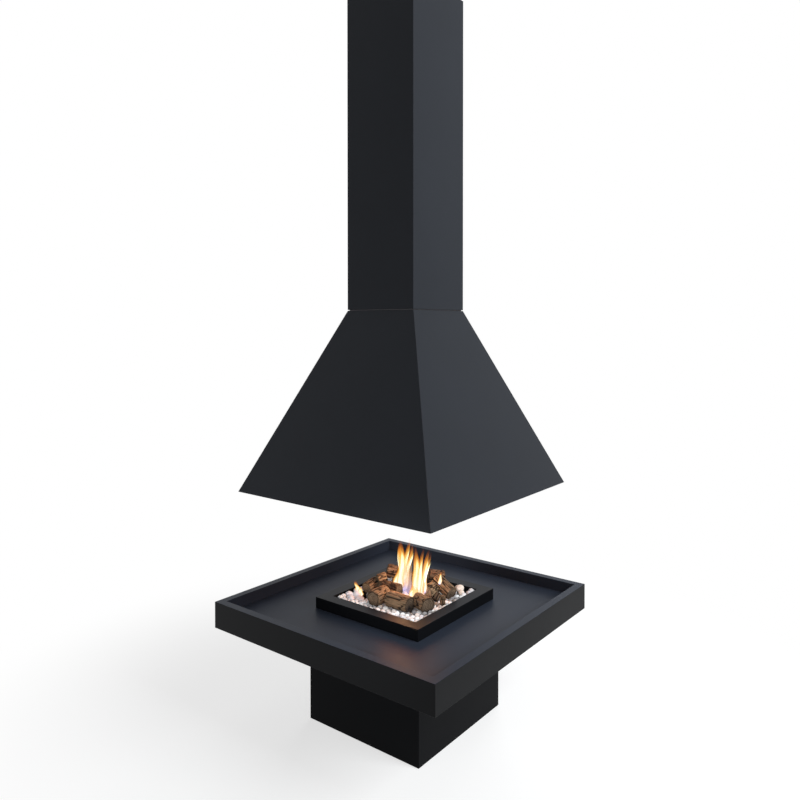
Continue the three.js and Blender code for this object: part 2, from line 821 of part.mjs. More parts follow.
// Igniter barrel through the bracket: a blind bore holds the button.
function igniterBody() {
  const bore = buttonRadius + runningGap;
  const boreDepth = buttonLength - buttonProud + buttonTravel + buttonSpring;
  return toY(turned([
    [0, igniterBezelDepth - igniterLength],
    [igniterRadius, igniterBezelDepth - igniterLength],
    [igniterRadius, seatGap],
    [igniterBezel, seatGap],
    [igniterBezel, igniterBezelDepth / 2],
    [igniterRadius, igniterBezelDepth],
    [bore, igniterBezelDepth],
    [bore, igniterBezelDepth - boreDepth],
    [0, igniterBezelDepth - boreDepth],
  ], barrelSides));
}

function igniterButton() {
  const top = igniterBezelDepth + buttonProud;
  return toY(turned([
    [0, top - buttonLength],
    [buttonRadius, top - buttonLength],
    [buttonRadius, top - buttonEdge],
    [buttonRadius - buttonEdge, top],
    [0, top],
  ], barrelSides));
}

const cockMiddle = inletTop + seatGap + cockHeight / 2;
const leverY = inletSpot[1] + cockBallRadius + cockSpindleLength - leverThickness - seatGap;
place('gas_inlet_pipe', inletPipe(), finishes.zinc, [...inletSpot, 0]);
place('gas_cock', gasCock(), finishes.brass, [...inletSpot, 0]);
place('gas_cock_lever', cockLever(), finishes.redPlastic, [inletSpot[0], leverY, cockMiddle]);
place('supply_pipe', supplyPipe(), finishes.copper);
place('control_bracket', controlBracket(), finishes.zinc);
place('gas_valve', gasValve(), finishes.zinc, [valveSpot[0], valveBack - valveDepth / 2, valveSpot[1]]);
place('gas_knob', gasKnob(), finishes.blackPlastic, [valveSpot[0], bracketFace, valveSpot[1]]);
place('igniter_body', weld(igniterBody()), finishes.blackPlastic,
  [igniterSpot[0], bracketFace, igniterSpot[1]]);
place('igniter_button', weld(igniterButton()), finishes.redPlastic,
  [igniterSpot[0], bracketFace, igniterSpot[1]]);

// ---------------------------------------------------------------- access door
const doorEdge = doorHalf - doorGap;
const doorBottom = doorSill + doorGap;
const doorTop = doorSill + doorHeight - doorGap;
const hingeX = -doorHalf - hingeOffset;
const hingeY = pedestalHalf + hingeStandOff;
const hingeLevels = [doorBottom + hingeInset, doorTop - hingeInset - 2 * hingeHalf];
const latchSpot = [doorEdge - latchInset, (doorBottom + doorTop) / 2];

// Folded door with pressed louvres over its lower part and a barrel for each hinge pin.
function accessDoor() {
  const face = pedestalHalf;
  const outer = slab([-doorEdge, doorEdge], [face - doorFold, face], [doorBottom, doorTop]);
  const hollow = slab(
    [doorSheet - doorEdge, doorEdge - doorSheet],
    [face - doorFold - drillOverrun, face - doorSheet],
    [doorBottom + doorSheet, doorTop - doorSheet],
  );
  const slots = [];
  const hoods = [];
  for (let i = 0; i < louvreCount; i += 1) {
    const level = (doorBottom + doorTop) / 2 + (i - (louvreCount - 1) / 2) * louvrePitch;
    slots.push(slab(
      [-louvreLength / 2, louvreLength / 2],
      [face - doorSheet - drillOverrun, face + drillOverrun],
      [level - louvreSlot / 2, level + louvreSlot / 2],
    ));
    const wedge = prism([
      [0, louvreSlot],
      [-doorSheet / 2, louvreSlot],
      [-doorSheet / 2, louvreSlot / 2 + doorSheet / 4],
      [louvreHood, -louvreSlot / 2],
      [louvreHood + doorSheet, -louvreSlot / 2],
    ], -louvreLength / 2, louvreLength / 2);
    hoods.push(toLouvre(wedge).translate(0, face, level));
  }
  const knuckles = hingeLevels.map((level) => doorKnuckle(level + hingeHalf + seatGap));
  const latchHole = toY(drill(latchShaft + runningGap, [0, 0], face - doorSheet, face));
  const shell = cut(outer, hollow, ...slots, latchHole.translate(latchSpot[0], 0, latchSpot[1]));
  return join(shell, ...hoods, ...knuckles);
}

// Section [out of the door, up] drawn flat, stood up with its length across the door.
function toLouvre(flat) {
  return flat.rotateX(Math.PI / 2).rotateZ(Math.PI / 2);
}

function doorKnuckle(bottom) {
  const top = bottom + hingeHalf;
  const leafBack = pedestalHalf + hingeLeafGap;
  const leafFront = leafBack + hingeLeafSheet;
  const leafEnd = hingeX + hingeLeaf;
  const leaf = slab([hingeX, leafEnd], [leafBack, leafFront], [bottom, top]);
  const pad = slab(
    [2 * doorGap - doorHalf, leafEnd],
    [pedestalHalf - weldOverlap, leafFront],
    [bottom, top],
  );
  const barrel = bar(hingeBarrel, bottom, top).translate(hingeX, hingeY, 0);
  const bore = drill(hingePin + runningGap / 2, [hingeX, hingeY], bottom, top);
  return cut(join(leaf, pad, barrel), bore);
}

// Fixed half of a lift-off hinge, with the pin that the door hangs on.
function fixedHinge(bottom) {
  const top = bottom + hingeHalf;
  const leafY = [pedestalHalf + seatGap, pedestalHalf + seatGap + hingeLeafSheet];
  const leaf = slab([hingeX - hingeLeaf, hingeX], leafY, [bottom, top]);
  const barrel = bar(hingeBarrel, bottom, top).translate(hingeX, hingeY, 0);
  const pin = bar(hingePin, bottom, top + hingeHalf).translate(hingeX, hingeY, 0);
  return join(leaf, barrel, pin);
}

// Quarter-turn latch: knob outside, cam behind the door. The cam hangs down when it is open.
function doorLatch() {
  const knob = turned([
    [0, seatGap],
    [latchKnob, seatGap],
    [latchKnob, latchKnobDepth - latchKnobEdge],
    [latchKnob - latchKnobEdge, latchKnobDepth],
    [0, latchKnobDepth],
  ]);
  const grip = slab(
    [-latchGripWidth / 2, latchGripWidth / 2],
    [-latchKnob, latchKnob],
    [latchKnobDepth - weldOverlap, latchKnobDepth + latchGripHeight],
  );
  const shaft = bar(latchShaft, -latchCamDepth, weldOverlap);
  const cam = slab(
    [-latchCamWidth / 2, latchCamWidth / 2],
    [-latchCamWidth / 2, latchCamLength - latchCamWidth / 2],
    [-latchCamDepth, latchCamSheet - latchCamDepth],
  );
  return toY(join(knob, grip, shaft, cam));
}

place('access_door', accessDoor(), finishes.blackSteel);
place('door_hinge_lower', fixedHinge(hingeLevels[0]), finishes.zinc);
place('door_hinge_upper', fixedHinge(hingeLevels[1]), finishes.zinc);
place('door_latch', doorLatch(), finishes.zinc, [latchSpot[0], pedestalHalf, latchSpot[1]]);

// ---------------------------------------------------------------- hood
// Half width of the hood's outside at a height.
function hoodHalfAt(height) {
  const share = (height - hoodBottom) / hoodHeight;
  return hoodWidth / 2 + (casingHalf - hoodWidth / 2) * share;
}

// All four sides of the hood with its lips, before it is parted along the corners.
function hoodSides() {
  const run = hoodWidth / 2 - casingHalf;
  const across = (hoodSheet * Math.hypot(run, hoodHeight)) / hoodHeight;
  const lipTop = hoodBottom + hoodSheet;
  const topLipUnder = hoodTop - hoodSheet;
  return squareRing([
    [hoodWidth / 2, hoodBottom],
    [casingHalf, hoodTop],
    [casingHalf - hoodTopLip, hoodTop],
    [casingHalf - hoodTopLip, topLipUnder],
    [hoodHalfAt(topLipUnder) - across, topLipUnder],
    [hoodHalfAt(lipTop) - across, lipTop],
    [hoodWidth / 2 - hoodLip, lipTop],
    [hoodWidth / 2 - hoodLip, hoodBottom],
  ]);
}

// The quarter in front of the axis, set back from the corner planes by half a seat gap.
function frontQuarter(bottom, top, reach) {
  const apex = -seatGap / Math.SQRT2;
  return prism([[0, apex], [-reach, apex - reach], [reach, apex - reach]], bottom, top);
}

['front', 'right', 'rear', 'left'].forEach((side, index) => {
  const quarter = frontQuarter(hoodBottom - drillOverrun, hoodTop + drillOverrun, hoodWidth);
  const panel = common(hoodSides(), quarter.rotateZ((index * Math.PI) / 2));
  place(`hood_${side}_panel`, panel, finishes.blackSteel);
});

// Angle frame on the hood's top lip: the rods hold it and the casing slides over its upstand.
function hoodTopFrame() {
  const outer = casingClear;
  const footTop = frameBottom + frameSheet;
  const frame = squareRing([
    [outer - frameFoot, frameBottom],
    [outer, frameBottom],
    [outer, frameBottom + upstandHeight],
    [outer - frameSheet, frameBottom + upstandHeight],
    [outer - frameSheet, footTop],
    [outer - frameFoot, footTop],
  ]);
  const holes = corners(rodSpacing / 2).map((spot) =>
    drill(hangerRadius + seatGap, spot, frameBottom, footTop));
  return cut(frame, ...holes);
}

// Square plate with a round spigot through it, which holds the damper.
function smokeCollar() {
  const half = casingClear - frameSheet - seatGap;
  const top = collarBottom + collarSheet;
  const spigot = turned([
    [flueRadius - flueSheet, hoodTop - spigotBelow],
    [flueRadius, hoodTop - spigotBelow],
    [flueRadius, spigotTop],
    [flueRadius - flueSheet, spigotTop],
  ]);
  const plate = slab([-half, half], [-half, half], [collarBottom, top]);
  const holes = corners(rodSpacing / 2).map((spot) =>
    drill(hangerRadius + seatGap, spot, collarBottom, top));
  const holed = cut(plate, drill(flueRadius - flueSheet / 2, [0, 0], collarBottom, top, roundSides));
  const shaftHole = toX(bar(damperShaft + runningGap, -casingHalf, casingHalf));
  return cut(join(holed, spigot), ...holes, shaftHole.translate(0, 0, damperLevel));
}

// Flue length with a socket that slips over the pipe below it and a bead above the socket.
function fluePipe(bottom, top) {
  const bore = flueRadius - flueSheet;
  const socketOuter = socketRadius + flueSheet;
  const shoulder = bottom + seatGap;
  return turned([
    [bore, shoulder],
    [socketRadius, shoulder],
    [socketRadius, bottom - socketLength],
    [socketOuter, bottom - socketLength],
    [socketOuter, bottom + beadHeight],
    [flueRadius, bottom + 2 * beadHeight],
    [flueRadius, top],
    [bore, top],
  ]);
}

// Band round the middle joint of the flue, with its bolt lug.
function flueClamp() {
  const inner = socketRadius + flueSheet + seatGap;
  const middle = flueJointHeight - socketLength / 2;
  const bottom = middle - clampWidth / 2;
  const top = middle + clampWidth / 2;
  const outer = inner + clampSheet;
  const band = turned([[inner, bottom], [outer, bottom], [outer, top], [inner, top]]);
  const [reach, width, height] = clampLug;
  const lug = slab(
    [-width / 2, width / 2],
    [-outer - reach, -inner - clampSheet / 2],
    [middle - height / 2, middle + height / 2],
  );
  return join(band, lug);
}

// Casing folded from one sheet round the front and both sides, with screw lips at the rear.
function casingFront() {
  const out = casingHalf;
  const rear = casingHalf - casingSheet - seatGap;
  const inner = out - casingSheet;
  const lip = out - casingReturn;
  return prism([
    [-out, -out], [out, -out], [out, rear], [lip, rear], [lip, rear - casingSheet],
    [inner, rear - casingSheet], [inner, -inner], [-inner, -inner], [-inner, rear - casingSheet],
    [-lip, rear - casingSheet], [-lip, rear], [-out, rear],
  ], casingBottom, casingTop);
}

function casingRearCover() {
  return slab(
    [-casingHalf, casingHalf],
    [casingHalf - casingSheet, casingHalf],
    [casingBottom, casingTop],
  );
}

function ceilingPlate() {
  const half = casingClear;
  const bottom = overallHeight - ceilingSheet;
  const plate = slab([-half, half], [-half, half], [bottom, overallHeight]);
  const holes = corners(rodSpacing / 2).map((spot) =>
    drill(hangerRadius + seatGap, spot, bottom, overallHeight));
  return cut(plate, drill(flueRadius + seatGap, [0, 0], bottom, overallHeight, roundSides), ...holes);
}

// Threaded rod from the ceiling plate to the hood's frame, with its nuts.
function hangerRod() {
  const plateNutTop = overallHeight - ceilingSheet - seatGap;
  const frameNutTop = frameBottom - seatGap;
  const collarNut = collarBottom + collarSheet + seatGap;
  return join(
    bar(hangerRadius, frameNutTop - nutHeight, overallHeight - seatGap),
    bar(nutRadius, plateNutTop - nutHeight, plateNutTop, nutSides),
    bar(nutRadius, collarNut, collarNut + nutHeight, nutSides),
    bar(nutRadius, frameNutTop - nutHeight, frameNutTop, nutSides),
  );
}

// Butterfly plate welded to its shaft; it stands upright when the flue is open.
function damperPlate() {
  const radius = flueRadius - flueSheet - damperGap;
  const disc = toY(bar(radius, -damperSheet / 2, damperSheet / 2, roundSides));
  const shaft = toX(bar(damperShaft, -flueRadius - damperGap, damperShaftEnd));
  return join(disc, shaft);
}

// Arm and knob that turn the shaft from inside the hood.
function damperHandle() {
  const arm = slab(
    [0, damperArmSheet],
    [-damperArmWidth / 2, damperArmWidth / 2],
    [-damperArm, damperArmWidth / 2],
  );
  const knob = new THREE.SphereGeometry(damperKnob, smallSides, ballBands).translate(
    damperArmSheet / 2, 0, -damperArm);
  return join(arm, knob);
}

const flueTop = overallHeight;
place('hood_top_frame', hoodTopFrame(), finishes.rawSteel);
place('smoke_collar', smokeCollar(), finishes.rawSteel);
place('flue_pipe_lower', weld(fluePipe(spigotTop, flueJointHeight)), finishes.rawSteel);
place('flue_pipe_upper', weld(fluePipe(flueJointHeight, flueTop)), finishes.rawSteel);
place('flue_clamp', flueClamp(), finishes.zinc);
place('chimney_casing', casingFront(), finishes.blackSteel);
place('chimney_rear_cover', casingRearCover(), finishes.blackSteel);
place('ceiling_plate', ceilingPlate(), finishes.rawSteel);
corners(rodSpacing / 2).forEach(([x, y], index) => {
  place(`hanger_rod_${index + 1}`, hangerRod(), finishes.zinc, [x, y, 0]);
});
place('damper_plate', damperPlate(), finishes.rawSteel, [0, 0, damperLevel]);
place('damper_handle', damperHandle(), finishes.blackSteel,
  [damperShaftEnd + seatGap, 0, damperLevel]);

export default fireplace;
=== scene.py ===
"""Hanging gas fireplace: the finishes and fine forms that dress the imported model."""

import math
import random

import bmesh
import bpy
import numpy as np
from bpy.props import FloatProperty, FloatVectorProperty, IntProperty
from mathutils import Matrix, Vector, noise


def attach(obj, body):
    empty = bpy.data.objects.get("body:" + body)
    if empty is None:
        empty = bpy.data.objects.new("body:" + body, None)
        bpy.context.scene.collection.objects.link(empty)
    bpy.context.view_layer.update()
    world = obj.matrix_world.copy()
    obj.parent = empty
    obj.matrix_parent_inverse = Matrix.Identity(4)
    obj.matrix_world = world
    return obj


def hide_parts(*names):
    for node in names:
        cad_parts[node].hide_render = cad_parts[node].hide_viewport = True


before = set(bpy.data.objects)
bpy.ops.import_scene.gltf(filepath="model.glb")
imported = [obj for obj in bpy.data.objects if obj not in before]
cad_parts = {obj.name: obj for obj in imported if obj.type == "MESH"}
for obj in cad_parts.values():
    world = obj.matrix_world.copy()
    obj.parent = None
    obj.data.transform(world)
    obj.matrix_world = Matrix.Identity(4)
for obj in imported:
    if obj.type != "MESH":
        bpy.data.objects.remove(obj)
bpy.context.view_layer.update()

bl_info = {
    "name": "Hanging fireplace",
    "version": (1, 0, 0),
    "blender": (4, 5, 0),
    "location": "View3D > Sidebar > Fireplace",
    "description": "Dresses a hanging gas fireplace with its finishes, logs, stones and fire",
    "category": "Object",
}

MM = 0.001
FULL_TURN = 2 * math.pi
UP = Vector((0, 0, 1))

# ------------------------------------------------------------------ places taken from the model
BED_LEVEL = 0.438          # top of the stones
BED_HALF = 0.1897          # half width of the bed of stones
TRAY_INSIDE = 0.488        # faces nearer the middle than this are inside the tray
ACROSS = Vector((0.792, 0.610, 0))      # to the camera's right
INWARD = Vector((-0.610, 0.792, 0))     # away from the camera

# ------------------------------------------------------------------ logs
# Number: start, end, radius, all in millimetres over the bed, then tone, redness, darkness, and
# how far the bark's plates are drawn out along the log.
LOGS = {
    1: ((-42, -144, 26), (-42, -72, 28), 31, 0.62, 0.10, 0.10, 3.1),
    2: ((2, -100, 24), (101, -104, 24), 30, 0.74, 0.05, 0.12, 6.8),
    3: ((158, -71, 25), (95, -53, 28), 29, 0.60, 0.10, 0.20, 3.1),
    4: ((86, 14, 34), (82, 72, 35), 25, 1.00, 0.00, 0.00, 3.7),
    5: ((-94, -22, 30), (-16, -20, 27), 24, 0.22, 0.35, 0.50, 3.1),
    6: ((-142, -67, 21), (-146, -4, 27), 23, 0.55, 0.12, 0.15, 3.5),
    7: ((-120, 62, 23), (10, 164, 23), 25, 0.45, 0.20, 0.35, 3.7),
    8: ((-45, 62, 23), (42, 50, 24), 24, 0.30, 0.30, 0.60, 3.1),
    9: ((159, 16, -5), (162, 12, 40), 11, 0.60, 0.10, 0.15, 2.6),
    10: ((114, 28, 6), (110, 54, 22), 14, 0.30, 0.15, 0.50, 2.6),
    11: ((158, 77, 26), (76, 92, 58), 26, 0.74, 0.10, 0.10, 5.0),
    12: ((-117, -29, 52), (-98, 0, 58), 19, 0.80, 0.05, 0.05, 3.3),
    13: ((-134, 48, 62), (-105, 72, 52), 27, 0.55, 0.40, 0.15, 3.1),
    14: ((-20, 72, 60), (40, 84, 62), 20, 0.45, 0.30, 0.35, 3.7),
    15: ((14, 128, 54), (56, 172, 46), 20, 0.48, 0.65, 0.30, 3.2),
}
LOG_SIDES = 84
LOG_ROW = 2.0 * MM
LOG_SWELL = 0.09           # share of the radius by which a log swells and narrows
CAP_RINGS = 9
CAP_REACH = 0.965          # share of the radius where a sawn end's outermost ring lies
CAP_SHARE = 0.97           # rings within this share belong to a sawn end
END_CHECKS = 5             # cracks that run inwards over a sawn end
NOTCH_CORE = 0.12          # share of the radius that a notch leaves at least
NOTCH_REACH = 1.02         # share of its radius at which a log stops the one over it
FAR = 1.0                  # further than any log is from another, or from a stone
FIRE_ACROSS, FIRE_REACH = 0.02, 0.075       # middle and reach of the fire that chars the logs
CAP_ROUND = 1.8 * MM       # worn edge of a sawn end
LOG_GAP = 0.4 * MM         # between a log and the one that it lies on
LOG_PROUD = 1.8 * MM       # how far the plates of bark stand over the moulded body
PLATE_DRAWN = 1.35         # all plates are drawn out this much more than the table says
GROOVE_DEPTH = 0.85        # share of the bark's depth that its grooves take
BARK_LUMPS = ((0.006, 0.0006, 40), (0.020, 0.0012, 80))     # widths, depths and seeds
CHARRED_ENDS = {2: (1, 0.55), 3: (-1, 0.30)}     # log: which end, and how black

# ------------------------------------------------------------------ fire
# Foot, height, lean across and along the view, width, depth, twist and seed of each tongue, in
# millimetres over the bed.
LEFT_TONGUES = (
    ((-29, 5, 14), 206, (6, 4), 20, 15, 1.1, 3),
    ((-22, 12, 16), 212, (22, 2), 16, 13, -1.2, 5),
    ((-30, 14, 18), 196, (-14, 2), 13, 12, 1.5, 8),
    ((-18, 16, 18), 188, (30, 4), 12, 11, -1.4, 13),
    ((-44, 0, 14), 104, (4, 0), 14, 12, 1.2, 17),
)
RIGHT_TONGUES = (
    ((68, -30, 0), 222, (4, 6), 15, 14, 1.0, 21),
    ((76, -24, 4), 214, (20, 6), 12, 13, -1.2, 34),
    ((60, -28, 2), 200, (6, 2), 10, 11, 1.4, 55),
    ((80, -18, 6), 208, (38, 8), 11, 12, -1.5, 89),
    ((66, -38, 0), 84, (-6, 0), 22, 14, 1.1, 91),
    ((84, -10, 20), 176, (34, 2), 8, 9, 1.6, 64),
)
VEIL_TONGUES = (
    ((16, -10, 8), 182, (6, 4), 20, 12, 0.8, 27),
    ((34, -24, 4), 140, (-4, 2), 14, 10, -0.9, 46),
)
LOW_TONGUES = (
    ((88, -4, 34), 128, (14, 2), 9, 9, -1.6, 101),
    ((-152, -96, 2), 56, (-14, 2), 13, 10, 1.2, 144),
    ((-140, -106, 2), 40, (6, 2), 11, 9, -1.5, 233),
    ((114, 60, 56), 50, (8, 4), 7, 7, 1.3, 377),
)


class CoatSettings(bpy.types.PropertyGroup):
    """Powder coat on the folded steel."""

    colour: FloatVectorProperty(
        name="Coat colour", description="Colour of the satin powder coat",
        subtype="COLOR", default=(0.0235, 0.0262, 0.0320), min=0, max=1)
    roughness: FloatProperty(
        name="Roughness", description="How matt the powder coat is",
        subtype="FACTOR", default=0.40, min=0, max=1)
    shine: FloatProperty(
        name="Shine", description="Strength of the coat's mirror reflection",
        subtype="FACTOR", default=0.07, min=0, max=1)
    fold: FloatProperty(
        name="Fold radius", description="Rounding of each folded edge",
        subtype="DISTANCE", unit="LENGTH", default=0.0009, min=0, max=0.005)
    grain: FloatProperty(
        name="Grain", description="Width of the coat's fine orange peel",
        subtype="DISTANCE", unit="LENGTH", default=0.0011, min=0.0002, max=0.01)


class FireSettings(bpy.types.PropertyGroup):
    """Logs, stones and flames."""

    bark_depth: FloatProperty(
        name="Bark depth", description="Depth of the cracks between plates of bark",
        subtype="DISTANCE", unit="LENGTH", default=0.0034, min=0, max=0.01)
    bark_plate: FloatProperty(
        name="Bark plate", description="Width of a plate of bark",
        subtype="DISTANCE", unit="LENGTH", default=0.0105, min=0.002, max=0.05)
    bark_light: FloatVectorProperty(
        name="Light bark", description="Colour of the lightest bark",
        subtype="COLOR", default=(0.31, 0.205, 0.120), min=0, max=1)
    bark_dark: FloatVectorProperty(
        name="Dark bark", description="Colour of the darkest bark",
        subtype="COLOR", default=(0.070, 0.044, 0.030), min=0, max=1)
    stone_width: FloatProperty(
        name="Stone width", description="Width of a common stone",
        subtype="DISTANCE", unit="LENGTH", default=0.0235, min=0.01, max=0.05)
    stone_light: FloatVectorProperty(
        name="Light stone", description="Colour of the lightest stones",
        subtype="COLOR", default=(0.92, 0.92, 0.93), min=0, max=1)
    stone_grey: FloatVectorProperty(
        name="Grey stone", description="Colour of the greyest stones",
        subtype="COLOR", default=(0.60, 0.59, 0.63), min=0, max=1)
    flame_strength: FloatProperty(
        name="Flame strength", description="Brightness of the flames",
        default=1.15, min=0, max=10)
    glow: FloatProperty(
        name="Glow", description="Light that the fire throws on what is round it",
        subtype="POWER", unit="POWER", default=1.5, min=0, max=100)
    seed: IntProperty(
        name="Seed", description="Changes the arrangement of the stones",
        default=11, min=0)


class StudioSettings(bpy.types.PropertyGroup):
    """Camera, floor and lamps."""

    eye: FloatVectorProperty(
        name="Eye", description="Place of the camera",
        subtype="TRANSLATION", unit="LENGTH", default=(1.6884, -2.1375, 1.471))
    turn: FloatProperty(
        name="Turn", description="Camera's turn about the upright axis",
        subtype="ANGLE", unit="ROTATION", default=math.radians(37.60))
    tilt: FloatProperty(
        name="Tilt", description="Camera's tilt below the horizon",
        subtype="ANGLE", unit="ROTATION", default=math.radians(0.86))
    lens: FloatProperty(
        name="Lens", description="Focal length of the camera",
        unit="CAMERA", default=32.42, min=1)
    shift: FloatVectorProperty(
        name="Shift", description="Shift of the lens across and up",
        size=2, default=(-0.0185, -0.08))
    key: FloatProperty(
        name="Key", description="Power of the large lamp at the right",
        subtype="POWER", unit="POWER", default=230, min=0)
    fill: FloatProperty(
        name="Fill", description="Power of the large lamp at the left",
        subtype="POWER", unit="POWER", default=20, min=0)
    back: FloatProperty(
        name="Back", description="Power of the large lamp behind",
        subtype="POWER", unit="POWER", default=110, min=0)
    spot: FloatProperty(
        name="Bed spot", description="Power of the small lamp on the bed of stones",
        subtype="POWER", unit="POWER", default=150, min=0)
    sky: FloatProperty(
        name="Sky", description="Strength of the even light from all sides",
        default=0.15, min=0, max=2)
    floor_colour: FloatVectorProperty(
        name="Floor", description="Colour of the floor",
        subtype="COLOR", default=(0.42, 0.42, 0.42), min=0, max=1)


# ------------------------------------------------------------------ nodes
class Shade:
    """One output socket, so that shader maths reads like arithmetic."""

    def __init__(self, tree, socket):
        self.tree = tree
        self.socket = socket

    def __add__(self, other):
        return self.tree.maths("ADD", self, other)

    __radd__ = __add__

    def __sub__(self, other):
        return self.tree.maths("SUBTRACT", self, other)

    def __rsub__(self, other):
        return self.tree.maths("SUBTRACT", other, self)

    def __mul__(self, other):
        return self.tree.maths("MULTIPLY", self, other)

    __rmul__ = __mul__


class Nodes:
    """A node tree that is written from its sockets backwards."""

    def __init__(self, tree):
        self.tree = tree
        tree.nodes.clear()

    def feed(self, socket, value):
        """Links a shade to a socket, or sets the socket's own value."""
        if isinstance(value, Shade):
            self.tree.links.new(value.socket, socket)
        elif socket.type == "RGBA":
            socket.default_value = (*value[:3], 1)
        else:
            socket.default_value = value

    def node(self, kind, settings=None, sockets=None, output=0):
        """Adds a node: its settings come first, then its sockets; returns one of its outputs."""
        made = self.tree.nodes.new("ShaderNode" + kind)
        for name, value in (settings or {}).items():
            if name == "stops":
                self.set_stops(made.color_ramp, value)
            else:
                setattr(made, name, value)
        for key, value in (sockets or {}).items():
            self.feed(made.inputs[key], value)
        return Shade(self, made.outputs[output]) if made.outputs else None

    @staticmethod
    def set_stops(ramp, stops):
        """Gives a ramp its (place, colour) stops."""
        while len(ramp.elements) < len(stops):
            ramp.elements.new(1)
        for element, (place, colour) in zip(ramp.elements, stops):
            element.position = place
            element.color = (*colour[:3], 1)

    def maths(self, operation, *values):
        return self.node("Math", {"operation": operation}, dict(enumerate(values)))

    def clamp(self, value):
        return self.node("Clamp", None, {"Value": value})

    def step(self, value, low, high):
        """0 on low's side, 1 on high's side and a smooth change between."""
        settings = {"interpolation_type": "SMOOTHSTEP"}
        return self.node("MapRange", settings, {"Value": value, 1: low, 2: high})

    def mix(self, factor, first, second):
        """Mixes two colours."""
        return self.node("Mix", {"data_type": "RGBA"}, {0: factor, 6: first, 7: second}, 2)

    def place(self):
        return self.node("TexCoord", None, None, 3)

    def part(self, vector, axis=0):
        """One component of a vector."""
        return self.node("SeparateXYZ", None, {0: vector}, axis)

    def scaled(self, vector, factors):
        return self.node("VectorMath", {"operation": "MULTIPLY"}, {0: vector, 1: factors})

    def noise(self, width, detail=2.0, vector=None, rough=0.5):
        """Soft noise with the given width of a blotch in metres, from 0 to 1."""
        sockets = {"Vector": vector or self.place(), "Scale": 1 / width,
                   "Detail": detail, "Roughness": rough}
        return self.node("TexNoise", None, sockets)

    def cells(self, width):
        """A random colour for each cell of the given width."""
        return self.node("TexVoronoi", None, {"Vector": self.place(), "Scale": 1 / width}, 1)

    def data(self, name, output="Fac"):
        """A number, or with output Vector a place, stored on the mesh's points."""
        settings = {"attribute_type": "GEOMETRY", "attribute_name": name}
        return self.node("Attribute", settings, None, output)

    def bump(self, height, depth, strength=1.0):
        return self.node("Bump", None, {"Height": height, "Distance": depth,
                                        "Strength": strength})

    def surface(self, **sockets):
        """Ends the tree in one principled surface; spaces in names are written as _."""
        named = {key.replace("_", " "): value for key, value in sockets.items()}
        shader = self.node("BsdfPrincipled", None, named)
        self.node("OutputMaterial", None, {"Surface": shader})


FINISHES = {}


def finish(name):
    """Registers a function that builds the material with this name."""
    def keep(build):
        FINISHES[name] = build
        return build
    return keep


def variants(build, table):
    """Registers a material for each row of a table of one builder's settings."""
    for name, settings in table.items():
        FINISHES[name] = lambda n, chosen=settings: build(n, **chosen)


def material(name):
    """The material with this name, built when it is first asked for."""
    found = bpy.data.materials.get("finish_" + name)
    if found is None:
        found = bpy.data.materials.new("finish_" + name)
        found.use_nodes = True
        FINISHES[name](Nodes(found.node_tree))
    return found


# ------------------------------------------------------------------ finishes
PAINTED_LIGHT_TINT = (0.95, 1.06, 1.26)     # painted light: the coat's upward faces are drawn lighter and slightly blue, as lit from above and reflecting the sky
PAINTED_LIGHT_EDGE = 0.004                # over which the painted light inside the tray ends
SOOT = (0.012, 0.010, 0.009)


def painted_light_inner_walls(n, level):
    """1 on the upright faces inside the tray, which are painted lighter as the top is."""
    along, back = (n.maths("ABSOLUTE", n.part(n.place(), axis)) for axis in (0, 1))
    reach = n.maths("MAXIMUM", along, back)
    return n.step(reach, TRAY_INSIDE, TRAY_INSIDE - PAINTED_LIGHT_EDGE) * n.step(level, -0.5, -0.2)


def coat(n, depth=1.0, top=1.0, soot=0.0, shine=1.0, tray=False):
    """Satin powder coat: fine orange peel, faint unevenness and soot if asked for; depth darkens
    it all as painted shade, and top draws the upward faces lighter as painted light.
    """
    settings = bpy.context.scene.fireplace_coat
    uneven = n.noise(0.22, 3)
    peel = n.noise(settings.grain, 1)
    speck = n.noise(settings.grain * 0.45, 1)
    # depth below 1 paints shade into the whole coat
    dark = [channel * 0.90 * depth for channel in settings.colour]
    light = [channel * 1.10 * depth for channel in settings.colour]
    colour = n.mix(uneven, dark, light)
    level = n.part(n.node("TexCoord", None, None, 1), 2)
    # painted light: upward faces, and with tray the tray's inner walls, are drawn lighter and
    # bluer than the sides
    if top != depth:
        painted_light_colour = [channel * top * tint for channel, tint in zip(settings.colour, PAINTED_LIGHT_TINT)]
        bright = [channel * 1.25 for channel in painted_light_colour]
        painted_light_mask = n.step(level, 0.5, 0.9)
        if tray:
            painted_light_mask = n.maths("MAXIMUM", painted_light_mask, painted_light_inner_walls(n, level))
        colour = n.mix(painted_light_mask, colour, n.mix(uneven, painted_light_colour, bright))
    colour = n.mix(n.step(speck, 0.62, 0.72) * 0.25, colour, [c * 1.8 for c in light])
    roughness = settings.roughness - 0.05 + uneven * 0.10 + speck * 0.03
    if soot:
        smudge = n.step(n.noise(0.12, 5, rough=0.65), 0.30, 0.70)
        sooty = n.step(0 - level, 0.05, 0.35) * (0.45 + smudge * 0.55) * soot
        colour = n.mix(sooty, colour, SOOT)
        roughness = roughness + sooty * 0.35
    n.surface(Base_Color=colour, Roughness=roughness, Specular_IOR_Level=settings.shine * shine,
              Normal=n.bump(peel, 0.00006, 0.5))


variants(coat, {
    "black_steel": {},
    "hood_steel": {"soot": 0.9},
    # painted shade and light: these copies of the coat are darkened as in shade, and the table's
    # and surround's upward faces painted lighter than their sides; the pedestal is also a darker
    # matt black
    "table_steel": {"depth": 0.15, "top": 1.14, "shine": 1.1, "tray": True},
    "surround_steel": {"depth": 0.16, "top": 0.26, "shine": 1.1},
    "pedestal_steel": {"depth": 0.15, "top": 0.15, "shine": 0.5},
})


